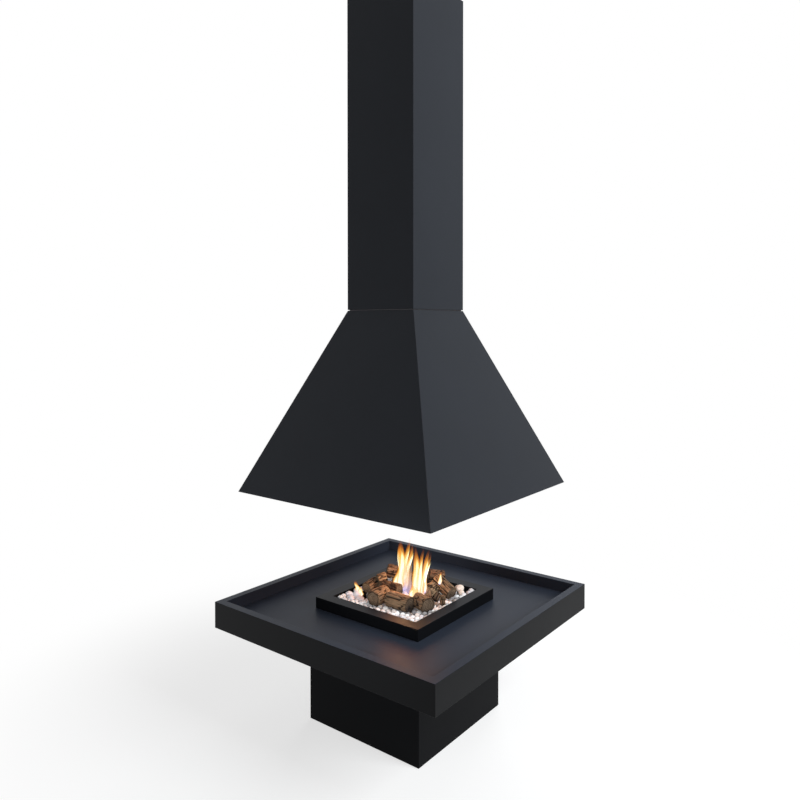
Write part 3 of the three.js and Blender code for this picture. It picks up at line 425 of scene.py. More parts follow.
@finish("dark_steel")
def dark_steel(n):
    """Uncoated mild steel with mill scale, heat colours and a little rust."""
    scale = n.noise(0.05, 6, rough=0.6)
    heat = n.step(n.noise(0.11, 3), 0.35, 0.65)
    rust = n.step(n.noise(0.018, 5, rough=0.7), 0.60, 0.74)
    colour = n.mix(scale, (0.052, 0.055, 0.062), (0.105, 0.103, 0.102))
    colour = n.mix(heat * 0.35, colour, (0.085, 0.058, 0.075))
    colour = n.mix(rust * 0.6, colour, (0.150, 0.062, 0.030))
    n.surface(Base_Color=colour, Metallic=0.85 - rust * 0.8, Roughness=0.42 + scale * 0.25,
              Normal=n.bump(scale + rust * 0.5, 0.00025, 0.4))


@finish("zinc_steel")
def zinc_steel(n):
    """Zinc plate with soft spangle, dulled in patches."""
    flake = n.part(n.cells(0.006))
    dull = n.noise(0.030, 4)
    colour = n.mix(flake, (0.46, 0.48, 0.50), (0.60, 0.61, 0.62))
    colour = n.mix(n.step(dull, 0.45, 0.75) * 0.5, colour, (0.36, 0.37, 0.38))
    n.surface(Base_Color=colour, Metallic=0.9, Roughness=0.30 + flake * 0.12 + dull * 0.15,
              Normal=n.bump(dull, 0.0001, 0.25))


@finish("stainless")
def stainless(n):
    """Rolled stainless with long fine brush lines and straw heat marks."""
    lines = n.noise(0.0009, 3, n.scaled(n.place(), (1, 1, 0.012)))
    heat = n.step(n.noise(0.16, 3), 0.50, 0.72)
    colour = n.mix(lines, (0.44, 0.44, 0.43), (0.58, 0.58, 0.57))
    colour = n.mix(heat * 0.35, colour, (0.42, 0.30, 0.17))
    n.surface(Base_Color=colour, Metallic=1.0, Roughness=0.26 + lines * 0.16 + heat * 0.08,
              Normal=n.bump(lines, 0.00004, 0.4))


def tarnished(n, bright, dull, spots):
    """Turned soft metal that has gone dull, with a few dark spots."""
    dulling = n.step(n.noise(0.013, 5, rough=0.6), 0.35, 0.70)
    turned = n.noise(0.0006, 1, n.scaled(n.place(), (0.2, 0.2, 1)))
    speck = n.step(n.noise(0.004, 3), 0.64, 0.72)
    colour = n.mix(dulling, bright, dull)
    colour = n.mix(speck * 0.6, colour, spots)
    n.surface(Base_Color=colour, Metallic=1.0, Roughness=0.24 + dulling * 0.22 + turned * 0.08,
              Normal=n.bump(turned, 0.00003, 0.4))


variants(tarnished, {
    "brass": {"bright": (0.72, 0.50, 0.20), "dull": (0.42, 0.28, 0.12),
              "spots": (0.16, 0.10, 0.05)},
    "copper": {"bright": (0.70, 0.32, 0.19), "dull": (0.36, 0.16, 0.10),
               "spots": (0.13, 0.07, 0.05)},
})


@finish("cast_alloy")
def cast_alloy(n):
    """Sand-cast alloy with a rough skin and dirt in its pits."""
    skin = n.noise(0.0014, 3)
    dirt = n.step(n.noise(0.020, 5), 0.48, 0.70)
    colour = n.mix(skin, (0.30, 0.31, 0.32), (0.44, 0.45, 0.46))
    colour = n.mix(dirt * 0.5, colour, (0.16, 0.155, 0.15))
    n.surface(Base_Color=colour, Metallic=0.8, Roughness=0.48 + skin * 0.15,
              Normal=n.bump(skin, 0.0003, 0.5))


@finish("white_ceramic")
def white_ceramic(n):
    """Glazed ceramic, faintly speckled and browned by the fire."""
    browning = n.step(n.noise(0.012, 4), 0.45, 0.75)
    speck = n.step(n.noise(0.0008, 1), 0.70, 0.76)
    colour = n.mix(browning * 0.5, (0.74, 0.73, 0.69), (0.48, 0.38, 0.28))
    colour = n.mix(speck * 0.5, colour, (0.32, 0.27, 0.22))
    n.surface(Base_Color=colour, Roughness=0.26 + browning * 0.30, Coat_Weight=0.3,
              Normal=n.bump(browning, 0.0001, 0.3))


def moulded(n, colour, matt):
    """Moulded plastic with a fine spark-eroded texture."""
    grain = n.noise(0.0007, 2)
    wear = n.step(n.noise(0.009, 4), 0.50, 0.75)
    worn = [channel * 1.35 + 0.012 for channel in colour]
    n.surface(Base_Color=n.mix(wear * 0.45, colour, worn), Roughness=matt + grain * 0.12,
              Normal=n.bump(grain, 0.00008, 0.5))


variants(moulded, {
    "black_plastic": {"colour": (0.020, 0.020, 0.021), "matt": 0.42},
    "red_button": {"colour": (0.46, 0.030, 0.022), "matt": 0.30},
    "red_lever": {"colour": (0.40, 0.028, 0.020), "matt": 0.38},
})


@finish("print_dark")
def print_dark(n):
    """Pad-printed marks, slightly worn."""
    worn = n.step(n.noise(0.002, 3), 0.30, 0.60)
    n.surface(Base_Color=n.mix(worn, (0.060, 0.060, 0.062), (0.012, 0.012, 0.013)), Roughness=0.6)


RING_PITCH, FINE_RING_PITCH = 980, 3100      # radians of ring pattern for each metre
CRACK_COLOUR = (0.010, 0.007, 0.006)
CHAR_AND_SHADE_COLOUR = (0.010, 0.009, 0.010)


def bark_colour(n, fire, blotch, fibre):
    """Brown plates with paler fibres, reddened in places, and black cracks."""
    shade = n.clamp(n.data("tone") * 0.75 + (blotch - 0.5) * 0.8 + (fibre - 0.5) * 0.9 + 0.12)
    bark = n.mix(shade, fire.bark_dark, fire.bark_light)
    bark = n.mix(n.data("red") * n.step(blotch, 0.35, 0.65), bark, (0.20, 0.075, 0.040))
    bark = n.mix(n.step(fibre, 0.54, 0.70) * 0.45, bark, (0.50, 0.41, 0.32))
    crack = n.step(n.data("groove") + (fibre - 0.5) * 0.9, 0.40, 0.88)
    return n.mix(crack, bark, CRACK_COLOUR)


def wood_colour(n, blotch, ring, rings, fine_rings):
    """Sawn wood with its rings, darker towards the bark."""
    wood = n.mix(n.clamp(blotch * 1.3 - 0.15 + n.data("tone") * 0.25),
                 (0.115, 0.078, 0.054), (0.37, 0.26, 0.170))
    wood = n.mix(n.clamp(rings * 0.68 + fine_rings * 0.20), wood, (0.032, 0.020, 0.014))
    return n.mix(n.step(ring, 0.019, 0.026) * 0.6, wood, (0.045, 0.026, 0.018))


@finish("ceramic_log")
def ceramic_log(n):
    """Moulded log: bark, ringed sawn ends, char near the fire and painted shade on its underside.
    """
    sawn, ring = n.data("sawn"), n.data("ring")
    blotch = n.noise(0.014, 5, rough=0.62)
    fine = n.noise(0.0022, 3)
    fibre = n.noise(0.0024, 4, n.scaled(n.data("grain", "Vector"), (1, 0.30, 1)), 0.65)
    drift = ring + n.noise(0.010, 3) * 0.006
    rings = n.step(n.maths("SINE", drift * RING_PITCH), 0.05, 0.95)
    fine_rings = n.step(n.maths("SINE", drift * FINE_RING_PITCH), 0.0, 1.0)
    bark = bark_colour(n, bpy.context.scene.fireplace_fire, blotch, fibre)
    colour = n.mix(sawn, bark, wood_colour(n, blotch, ring, rings, fine_rings))
    # char, with painted shade on the logs' undersides
    colour = n.mix(n.clamp(n.data("char") * (0.55 + blotch * 0.8)), colour, CHAR_AND_SHADE_COLOUR)
    height = fibre * (1 - sawn) * 1.2 + fine * 0.35 - rings * sawn * 0.6
    n.surface(Base_Color=colour, Roughness=0.80 + fine * 0.12, Specular_IOR_Level=0.22,
              Normal=n.bump(height, 0.0010, 0.9))


def stone(n, light, grey, warm):
    """Tumbled pebble: each has its own grey, with faint veins and a dusty skin."""
    island = n.node("NewGeometry", None, None, "Random Per Island")
    island_two = n.maths("FRACT", island * 7.31)
    vein = n.step(n.noise(0.010, 4, rough=0.7), 0.52, 0.62)
    dust = n.noise(0.0015, 2)
    colour = n.mix(n.step(island, 0.45, 0.95), light, grey)
    colour = n.mix(n.step(island_two, 0.70, 0.95) * 0.7, colour, warm)
    colour = n.mix(vein * 0.22, colour, [channel * 0.62 for channel in grey])
    colour = n.mix(dust * 0.16, colour, (0.85, 0.83, 0.80))
    # painted shade of the nearby logs, with soot, read from the mesh
    soot = n.data("soot") * (0.70 + dust * 0.5)
    colour = n.mix(n.clamp(soot), colour, (0.075, 0.062, 0.060))
    n.surface(Base_Color=colour, Roughness=0.52 + dust * 0.2, Specular_IOR_Level=0.3,
              Normal=n.bump(dust + vein * 0.3, 0.0003, 0.35))


@finish("pebble")
def pebble(n):
    fire = bpy.context.scene.fireplace_fire
    stone(n, fire.stone_light, fire.stone_grey, (0.74, 0.66, 0.60))


variants(stone, {
    "grey_stone": {"light": (0.86, 0.86, 0.92), "grey": (0.68, 0.67, 0.76),
                   "warm": (0.76, 0.73, 0.80)},
    "peach_stone": {"light": (0.84, 0.72, 0.62), "grey": (0.76, 0.60, 0.51),
                    "warm": (0.86, 0.78, 0.70)},
})


def flame(n, stops, solid, streak, bright):
    """Burning gas: colour by height in the tongue, torn into upright streaks."""
    rise, side = n.data("rise"), n.data("side")
    pattern = n.node("CombineXYZ", None, {0: side * 2.2, 1: rise * 1.1, 2: n.data("seed")})
    tear = n.node("TexNoise", None, {"Vector": pattern, "Scale": 2.4, "Detail": 3.0})
    glow = n.node("ValToRGB", {"stops": stops}, {0: n.clamp(rise + (tear - 0.5) * 0.35)})
    fade = n.step(rise, 1.0, 0.62) * n.step(rise, -0.02, 0.10)
    ragged = n.step(tear + (1 - rise) * streak, 0.40, 0.66)
    n.surface(Base_Color=(0, 0, 0), Roughness=1.0, Specular_IOR_Level=0.0,
              Emission_Color=glow, Alpha=n.clamp(fade * ragged * solid),
              Emission_Strength=bpy.context.scene.fireplace_fire.flame_strength * bright)


# Each shell's colours by height, how solid it is, how far streaks close it, and its brightness.
variants(flame, {
    "flame_outer": {"solid": 0.38, "streak": 0.30, "bright": 0.9, "stops": (
        (0.0, (0.05, 0.09, 0.60)), (0.10, (0.80, 0.30, 0.06)), (0.45, (1.0, 0.42, 0.05)),
        (0.80, (0.95, 0.25, 0.02)), (1.0, (0.55, 0.08, 0.01)))},
    "flame_veil": {"solid": 0.34, "streak": 0.10, "bright": 0.8, "stops": (
        (0.0, (0.12, 0.14, 0.80)), (0.14, (0.75, 0.62, 1.0)), (0.40, (0.95, 0.62, 0.52)),
        (0.75, (1.0, 0.55, 0.22)), (1.0, (0.80, 0.22, 0.04)))},
    "flame_middle": {"solid": 0.50, "streak": 0.55, "bright": 1.1, "stops": (
        (0.0, (0.35, 0.32, 0.90)), (0.10, (1.0, 0.80, 0.50)), (0.50, (1.0, 0.82, 0.36)),
        (0.80, (1.0, 0.55, 0.10)), (1.0, (0.95, 0.30, 0.03)))},
    "flame_core": {"solid": 0.97, "streak": 1.2, "bright": 2.2, "stops": (
        (0.0, (0.70, 0.65, 1.0)), (0.10, (1.0, 0.98, 0.95)), (0.55, (1.0, 0.97, 0.82)),
        (0.85, (1.0, 0.88, 0.48)), (1.0, (1.0, 0.66, 0.16)))},
})


# ------------------------------------------------------------------ mesh helpers
def put(name, data):
    """A new object in the scene."""
    made = bpy.data.objects.new(name, data)
    bpy.context.scene.collection.objects.link(made)
    return made


def ended(name, body):
    """The finished mesh of a bmesh, which is freed."""
    mesh = bpy.data.meshes.new(name)
    body.to_mesh(mesh)
    body.free()
    return mesh


def link(name, mesh, finish_name, body="base", replaced=()):
    """Makes a piece of a mesh: it rides on a body and stands for the CAD nodes named."""
    piece = put(name, mesh)
    piece.data.materials.clear()
    piece.data.materials.append(material(finish_name))
    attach(piece, body)
    if replaced:
        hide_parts(*replaced)
    return piece


def grid_mesh(name, points, numbers=None):
    """Closed mesh from rings of points, shaped (rings, sides, 3), with a point at each end."""
    rings, sides, _ = points.shape
    spots = [tuple(spot) for spot in points.reshape(-1, 3)]
    first, last = points[0].mean(axis=0), points[-1].mean(axis=0)
    spots += [tuple(first), tuple(last)]
    faces = []
    for ring in range(rings - 1):
        for side in range(sides):
            a, b = ring * sides + side, ring * sides + (side + 1) % sides
            faces.append((a, b, b + sides, a + sides))
    low, high = rings * sides, rings * sides + 1
    top = (rings - 1) * sides
    for side in range(sides):
        after = (side + 1) % sides
        faces.append((after, side, low))
        faces.append((top + side, top + after, high))
    mesh = bpy.data.meshes.new(name)
    mesh.from_pydata(spots, [], faces)
    for key, values in (numbers or {}).items():
        kind, field = ("FLOAT_VECTOR", "vector") if values.ndim == 3 else ("FLOAT", "value")
        ends = np.stack([values[0].mean(axis=0), values[-1].mean(axis=0)])
        flat = np.concatenate([values.reshape(-1), ends.reshape(-1)])
        attribute = mesh.attributes.new(key, kind, "POINT")
        attribute.data.foreach_set(field, flat.astype(np.float32))
    mesh.shade_smooth()
    return mesh


def joined(name, meshes):
    """One mesh with the points, faces and numbers of several."""
    whole = bmesh.new()
    for mesh in meshes:
        whole.from_mesh(mesh)
        bpy.data.meshes.remove(mesh)
    return ended(name, whole)


def smooth(low, high, value):
    """0 on low's side, 1 on high's side and a smooth change between."""
    share = np.clip((value - low) / (high - low), 0, 1)
    return share * share * (3 - 2 * share)


def noise_at(spots, width, seed):
    """Soft noise from -1 to 1 at each spot of an array."""
    shift = Vector((seed * 17.3, seed * 5.1, seed * 9.7))
    flat = spots.reshape(-1, 3) / width
    values = [noise.noise(Vector(spot) + shift) for spot in flat]
    return np.array(values).reshape(spots.shape[:-1])


def cracks_at(spots, seed):
    """Gap between the two nearest cell centres at each spot: 0 on a crack."""
    shift = Vector((seed * 3.7, seed * 8.9, seed * 1.3))
    gaps = []
    for spot in spots.reshape(-1, 3):
        near = noise.voronoi(Vector(spot) + shift)[0]
        gaps.append(near[1] - near[0])
    return np.array(gaps).reshape(spots.shape[:-1])


# ------------------------------------------------------------------ logs
def log_axes(number):
    """Start, end, length, turn from the log's own frame (axis along Y) and radius."""
    start, end, radius = LOGS[number][:3]
    start = Vector(start) * MM + UP * BED_LEVEL
    end = Vector(end) * MM + UP * BED_LEVEL
    axis = end - start
    turn = Vector((0, 1, 0)).rotation_difference(axis.normalized()).to_matrix()
    return start, end, axis.length, turn, radius * MM


def swelling(number, angle, along):
    """How far a log swells at an angle and a share of its length, as in the model."""
    index = number - 1
    coarse = np.sin(3 * angle + index)
    fine = np.sin(5 * angle + 2 * along + 2 * index)
    crook = np.cos(4 * along + index)
    return 1 + LOG_SWELL * (coarse + fine + crook) / 3


def entry(origin, ray, number):
    """Distance along each ray to a log that lies in its way, or FAR."""
    start, end, length, turn, radius = log_axes(number)
    to_own = np.array(turn.transposed())
    middle = np.array((start + end) / 2)
    spot = (origin - middle) @ to_own.T
    way = ray @ to_own.T
    reach = radius * NOTCH_REACH + LOG_GAP
    a = way[..., 0] ** 2 + way[..., 2] ** 2
    b = spot[..., 0] * way[..., 0] + spot[..., 2] * way[..., 2]
    c = spot[..., 0] ** 2 + spot[..., 2] ** 2 - reach ** 2
    under = b * b - a * c
    hit = (-b - np.sqrt(np.maximum(under, 0))) / np.maximum(a, 1e-9)
    height = spot[..., 1] + hit * way[..., 1]
    missed = (under <= 0) | (hit < 0) | (np.abs(height) > length / 2 + LOG_GAP)
    return np.where(missed, FAR, hit)


def log_grid(length):
    """Angle, share along and share of the radius of each spot, sawn ends included."""
    rows = max(12, int(length / LOG_ROW))
    bark = np.linspace(-0.5, 0.5, rows)
    cap = np.linspace(0, 1, CAP_RINGS + 1)[1:]
    along = np.concatenate([np.full(CAP_RINGS, -0.5), bark, np.full(CAP_RINGS, 0.5)])
    share = np.concatenate([cap * CAP_REACH, np.ones(rows), cap[::-1] * CAP_REACH])
    angle = np.linspace(0, FULL_TURN, LOG_SIDES, endpoint=False)
    angles, alongs = np.meshgrid(angle, along)
    return angles, alongs, np.repeat(share[:, None], LOG_SIDES, 1)


def bark_grooves(number, plates, width):
    """How deep each spot lies in a groove of the bark, from 0 to 1."""
    wander = noise_at(plates, 0.012, number)[..., None] * 0.003
    gap = cracks_at((plates + wander) / width, number)
    furrow = np.abs(noise_at(plates * np.array((1, 0.55, 1)), width * 0.9, number + 60))
    return np.maximum(0.85 * (1 - smooth(0.02, 0.24, gap)), 1 - smooth(0.0, 0.15, furrow))


def bark_depths(number, fire, plates, groove, to_end):
    """How far the bark lies under its outermost plates, at spots this far from an end."""
    inwards = fire.bark_depth * groove * GROOVE_DEPTH
    for width, depth, seed in BARK_LUMPS:
        inwards = inwards + depth * (1 - noise_at(plates, width, number + seed))
    near_end = smooth(0.0, 2.2 * CAP_ROUND, to_end)
    return inwards + CAP_ROUND * (1 - near_end) ** 2


def notched(number, outer, origin, ray):
    """The log's radii, cut back where an earlier log lies in the way."""
    least = LOGS[number][2] * MM * NOTCH_CORE
    for earlier in range(1, number):
        outer = np.minimum(outer, np.maximum(entry(origin, ray, earlier), least))
    return outer


def end_checks(number, angles, shares, sawn):
    """Cracks that run inwards over the sawn ends."""
    check = np.zeros_like(angles)
    draw = random.Random(number)
    for _ in range(END_CHECKS):
        where = draw.uniform(0, FULL_TURN)
        wide = draw.uniform(0.05, 0.11)
        off = np.abs((angles - where + math.pi) % FULL_TURN - math.pi)
        check += smooth(wide, 0, off) * smooth(0.25, 0.6, shares)
    return np.clip(check, 0, 1) * sawn


def char_and_underside_shade(number, world, middle, radius, blackened):
    """How black each spot is: the log's darkness from the table, painted shade on the undersides,
    charred ends and char on the side by the fire.
    """
    tone, dark = LOGS[number][3], LOGS[number][5]
    away = (world[..., 0] - FIRE_ACROSS) ** 2 + world[..., 1] ** 2
    fireside = np.exp(-(away / FIRE_REACH ** 2))
    # painted shade: the log's lower side is darkened
    under = smooth(0.2 * radius, -radius, world[..., 2] - middle[2])
    char = np.clip(dark * 0.9 + 0.55 * under + 0.25 * fireside * (1 - tone), 0, 1) + blackened
    return np.clip(char + 0.25 * noise_at(world, 0.022, number + 3), 0, 1)


def log_mesh(number, fire):
    """Log with plates of bark, worn sawn ends with checks, and notches over earlier logs."""
    _, _, _, tone, red, _, drawn = LOGS[number]
    start, end, length, turn, radius = log_axes(number)
    angles, alongs, shares = log_grid(length)
    sawn = (shares < CAP_SHARE).astype(float)
    flat = np.stack([np.cos(angles), alongs * 0, np.sin(angles)], -1)
    heights = alongs * length

    plates = np.stack([flat[..., 0] * radius, heights / (drawn * PLATE_DRAWN),
                       flat[..., 2] * radius], -1)
    groove = bark_grooves(number, plates, fire.bark_plate)
    to_end = (0.5 - np.abs(alongs)) * length
    inwards = bark_depths(number, fire, plates, groove, to_end)
    outer = radius * swelling(number, angles, alongs) + (LOG_PROUD - inwards) * (1 - sawn)

    spin = np.array(turn)
    middle = np.array((start + end) / 2)
    ray = flat @ spin.T
    origin = np.stack([heights * 0, heights, heights * 0], -1) @ spin.T + middle
    edge = notched(number, outer, origin, ray) - (CAP_ROUND - LOG_PROUD) * sawn

    check = end_checks(number, angles, shares, sawn)
    skew = (noise_at(flat * shares[..., None] * radius, 0.016, number + 7) * 0.0012
            + flat[..., 0] * shares * 0.0016)
    push = np.sign(alongs) * sawn * (skew * 0.5 - 0.0012 - 0.0016 * check)
    local = flat * (edge * shares)[..., None]
    local[..., 1] = heights + push
    world = local @ spin.T + middle

    side, black = CHARRED_ENDS.get(number, (1, 0))
    blackened = black * sawn * (np.sign(alongs) == side)
    numbers = {"groove": np.clip(groove * (1 - sawn) + check, 0, 1), "sawn": sawn,
               "ring": shares * radius, "grain": plates + number,
               "char": char_and_underside_shade(number, world, middle, radius, blackened),
               "tone": np.full_like(angles, tone), "red": np.full_like(angles, red)}
    return grid_mesh(f"log_{number:02d}", world, numbers)


# ------------------------------------------------------------------ stones
SPREAD_ROUNDS, SPREAD_PUSH = 40, 0.25
STONE_JITTER = 0.42        # share of the pitch by which a stone starts off its place
EDGE_ROOM = 0.48           # share of its width that a stone keeps from the bed's edge
STONE_SIZES, STONE_LIFTS = (0.86, 1.08), (-0.07, 0.10)      # in common widths
STONE_STRETCH = ((0.86, 1.0), (0.74, 0.95), (0.58, 0.80))
STONE_LEAN = 0.35
STONE_LUMPS = ((1.1, 0.16), (2.7, 0.05))    # how fine the lumps are, and how high
NOISE_ROOM = 90            # how far apart the stones may lie in the noise
STONE_PITCH = 0.94         # stones lie this share of their width apart
BIG_ROOM = 0.42            # share of two widths that a larger stone keeps free
LOG_BITE = 0.12            # share of its width that a stone may reach under a log's skin
DARKEST_CLEARANCE, PLAIN_CLEARANCE = 0.001, 0.011     # clearances from a log of the darkest and of the plain stones; the darkening is painted shade of the logs, with soot
STONE_SOOT_AND_SHADE = 0.8
CORNER_HEAP, CORNER_FROM = 0.012, 0.45  # height of the heap in a corner, and where it starts
WALL_HEAP, WALL_FROM = 0.003, 0.8       # the same along the walls
STONE_LAYERS = ((0.80, 2), (0.12, 3))   # widths under the bed's top, and how fine


def log_clearance(spot):
    """Distance from a spot to the nearest log's skin, less than 0 inside one."""
    nearest = FAR
    for number in LOGS:
        start, end, _, _, radius = log_axes(number)
        axis = end - start
        share = min(1, max(0, (spot - start).dot(axis) / axis.length_squared))
        nearest = min(nearest, (spot - start - axis * share).length - radius)
    return nearest


def taken(spot, level, width):
    """Whether a stone of this width can't lie at a spot, for a log or a larger stone."""
    for _, at, size, high in BIG_STONES:
        place = Vector((*at, high)) * MM
        if math.dist(spot, place.xy) < (size * MM + width) * BIG_ROOM:
            return True
    return log_clearance(Vector((*spot, level))) < -width * LOG_BITE


def spread_stones(draw, width):
    """Places for stones over the bed, pushed apart until they only touch."""
    side = int(2 * BED_HALF / width)
    pitch = 2 * BED_HALF / side
    spots = np.array([((column + 0.5) * pitch - BED_HALF, (row + 0.5) * pitch - BED_HALF)
                      for row in range(side) for column in range(side)])
    jitter = np.array([(draw.uniform(-1, 1), draw.uniform(-1, 1)) for _ in spots])
    spots += jitter * pitch * STONE_JITTER
    for _ in range(SPREAD_ROUNDS):
        apart = spots[:, None, :] - spots[None, :, :]
        far = np.hypot(apart[..., 0], apart[..., 1]) + np.eye(len(spots))
        press = np.clip(width * STONE_PITCH - far, 0, None) / far * (1 - np.eye(len(spots)))
        spots += (apart * press[..., None]).sum(axis=1) * SPREAD_PUSH
        limit = BED_HALF - width * EDGE_ROOM
        spots = np.clip(spots, -limit, limit)
    return spots


def heap(spot):
    """How far the stones are heaped up towards the left and right corners of the bed."""
    corner = abs(spot[0] + spot[1]) / (2 * BED_HALF)
    wall = max(abs(spot[0]), abs(spot[1])) / BED_HALF
    return (CORNER_HEAP * max(0, corner - CORNER_FROM) / (1 - CORNER_FROM)
            + WALL_HEAP * max(0, wall - WALL_FROM) / (1 - WALL_FROM))


def stone_mesh(draw, spot, size, rounds):
    """One tumbled stone: a ball pulled into an uneven egg with soft flats."""
    body = bmesh.new()
    bmesh.ops.create_icosphere(body, subdivisions=rounds, radius=1)
    stretch = Vector([draw.uniform(*limits) for limits in STONE_STRETCH])
    turn = Matrix.Rotation(draw.uniform(0, FULL_TURN), 3, "Z")
    lean = Matrix.Rotation(draw.uniform(-STONE_LEAN, STONE_LEAN), 3, "X")
    seed = Vector([draw.uniform(0, NOISE_ROOM) for _ in range(3)])
    for vertex in body.verts:
        lumps = 1 + sum(high * noise.noise(vertex.co * fine + seed) for fine, high in STONE_LUMPS)
        shape = Vector(a * b for a, b in zip(vertex.co, stretch)) * lumps
        vertex.co = turn @ (lean @ shape) * (size / 2) + spot
    mesh = ended("stone", body)
    # painted shade: a stone close to a log is darkened as in the log's shadow, with soot
    soot = mesh.attributes.new("soot", "FLOAT", "POINT")
    shade = STONE_SOOT_AND_SHADE * float(smooth(PLAIN_CLEARANCE, DARKEST_CLEARANCE, log_clearance(spot)))
    soot.data.foreach_set("value", [shade] * len(mesh.vertices))
    mesh.shade_smooth()
    return mesh


# Group, place, width and height over the bed of each larger stone, in millimetres.
BIG_STONES = (
    ("left", (-150, -108), 44, 8), ("left", (-172, -84), 36, 8), ("left", (-150, -146), 38, 4),
    ("left", (-174, -128), 34, 8), ("left", (-122, -126), 32, 2), ("left", (-176, -54), 30, 6),
    ("right", (132, 166), 40, 14), ("right", (158, 142), 27, 9),
)


def pebble_meshes(draw, width):
    """The common stones: a rough lower layer and a fine upper one."""
    meshes = []
    for under, rounds in STONE_LAYERS:
        level = BED_LEVEL - width * under
        free = [spot for spot in spread_stones(draw, width * STONE_PITCH)
                if not taken(spot, level, width)]
        for spot in free:
            size = width * draw.uniform(*STONE_SIZES)
            high = level + draw.uniform(*STONE_LIFTS) * width + heap(spot)
            place = Vector((spot[0], spot[1], high))
            meshes.append(stone_mesh(draw, place, size, rounds))
    return meshes


# ------------------------------------------------------------------ flames
TONGUE_RINGS, TONGUE_SIDES = 56, 32


def tongue_mesh(tongue, scale):
    """One tongue of flame: a lobed tube that swells, twists, sways and draws to a tip."""
    foot, height, lean, width, depth, twist, seed = tongue
    rise = np.linspace(0, 1, TONGUE_RINGS)
    angle = np.linspace(0, FULL_TURN, TONGUE_SIDES, endpoint=False)
    angles, rises = np.meshgrid(angle, rise)
    profile = smooth(-0.30, 0.22, rise) * (1 - rise ** 1.35) ** 0.80
    profile = profile * (1 + 0.16 * np.sin(8 * rise + seed)) + 0.012
    reach = 1 - (1 - scale) * 0.75
    sway = 0.34 * width * np.sin(6.4 * rise * reach + seed * 1.7) * rise ** 0.8
    nod = 0.24 * width * np.sin(5.3 * rise * reach + seed * 2.9) * rise
    lobes = 1 + 0.16 * np.sin(3 * angles + seed + 2.4 * twist * rises)
    lobes += 0.09 * np.sin(5 * angles - seed - 4.2 * rises) * rises
    turned = angles + twist * rises
    curl = np.stack([np.cos(angles) * 1.1, np.sin(angles) * 1.1, rises * reach * 4.5], -1)
    lobes += 0.30 * noise_at(curl, 1.0, seed * 0.13) * smooth(0.05, 0.5, rises)
    out = profile[:, None] * lobes * scale
    right = (lean[0] * rises ** 1.4 + sway[:, None] + out * width * np.cos(turned)) * MM
    deep = (lean[1] * rises ** 1.4 + nod[:, None] + out * depth * np.sin(turned)) * MM
    base = np.array(Vector(foot) * MM + UP * BED_LEVEL)
    lift = (rises * height * reach + (1 - scale) * height * 0.03) * MM
    world = (base + right[..., None] * np.array(ACROSS) + deep[..., None] * np.array(INWARD)
             + lift[..., None] * np.array(UP))
    numbers = {"rise": rises, "side": np.sin(angles / 2) * 3.0 + 0 * rises,
               "seed": np.full_like(rises, seed * 0.37)}
    return grid_mesh("tongue", world, numbers)


SHELLS = (("outer", 1.0), ("middle", 0.88), ("core", 0.70))
VEIL = (("veil", 1.0),)


def burn(name, tongues, shells=SHELLS):
    """The nested shells of a group of tongues, one piece for each shell."""
    for shell, scale in shells:
        meshes = [tongue_mesh(tongue, scale) for tongue in tongues]
        piece = link(f"{name}_{shell}", joined(name, meshes), "flame_" + shell)
        piece.visible_shadow = False


# ------------------------------------------------------------------ folded steel
FACET_ANGLE = math.radians(28)     # facets that meet more sharply than this keep an edge
PIPE_ANGLE = math.radians(50)
PIPE_ROUND = 1.1 * MM
WELD = 0.01 * MM                   # points closer than this are one
BEVEL_ANGLE = math.radians(40)
BEVEL_STEPS = 2
ROUND_NODES = {"burner_feed_pipe", "supply_pipe", "gas_inlet_pipe", "burner_ring",
               "thermocouple", "ignition_electrode", "gas_cock"}


def fold_group(name, limit):
    """Geometry nodes that join a solid's facets and shade it smooth between sharp edges."""
    tree = bpy.data.node_groups.new(name, "GeometryNodeTree")
    tree.interface.new_socket("Mesh", in_out="INPUT", socket_type="NodeSocketGeometry")
    tree.interface.new_socket("Mesh", in_out="OUTPUT", socket_type="NodeSocketGeometry")
    add = tree.nodes.new
    way_in, way_out = add("NodeGroupInput"), add("NodeGroupOutput")
    weld = add("GeometryNodeMergeByDistance")
    weld.inputs["Distance"].default_value = WELD
    strip = add("GeometryNodeRemoveAttribute")
    strip.inputs["Name"].default_value = "custom_normal"
    faces, edges = add("GeometryNodeSetShadeSmooth"), add("GeometryNodeSetShadeSmooth")
    faces.domain, edges.domain = "FACE", "EDGE"
    edges.inputs["Shade Smooth"].default_value = False
    angle = add("GeometryNodeInputMeshEdgeAngle")
    sharp = add("FunctionNodeCompare")
    sharp.data_type, sharp.operation = "FLOAT", "GREATER_THAN"
    sharp.inputs[1].default_value = limit
    chain = (way_in, strip, weld, faces, edges, way_out)
    for before, after in zip(chain, chain[1:]):
        target = "Geometry" if "Geometry" in after.inputs else 0
        source = "Geometry" if "Geometry" in before.outputs else 0
        tree.links.new(before.outputs[source], after.inputs[target])
    tree.links.new(angle.outputs[0], sharp.inputs[0])
    tree.links.new(sharp.outputs[0], edges.inputs["Selection"])
    return tree


def soften(piece, radius):
    """Joins the facets of a CAD node and rounds its edges."""
    pipe = piece.name in ROUND_NODES
    name, limit = ("even_pipe", PIPE_ANGLE) if pipe else ("even_facets", FACET_ANGLE)
    even = piece.modifiers.new(name, "NODES")
    even.node_group = bpy.data.node_groups.get(name) or fold_group(name, limit)
    radius = PIPE_ROUND if pipe else radius
    if radius:
        bevel = piece.modifiers.new("soft_edges", "BEVEL")
        bevel.width = radius
        bevel.segments = BEVEL_STEPS
        bevel.limit_method = "ANGLE"
        bevel.angle_limit = BEVEL_ANGLE
        bevel.harden_normals = True
        bevel.use_clamp_overlap = True


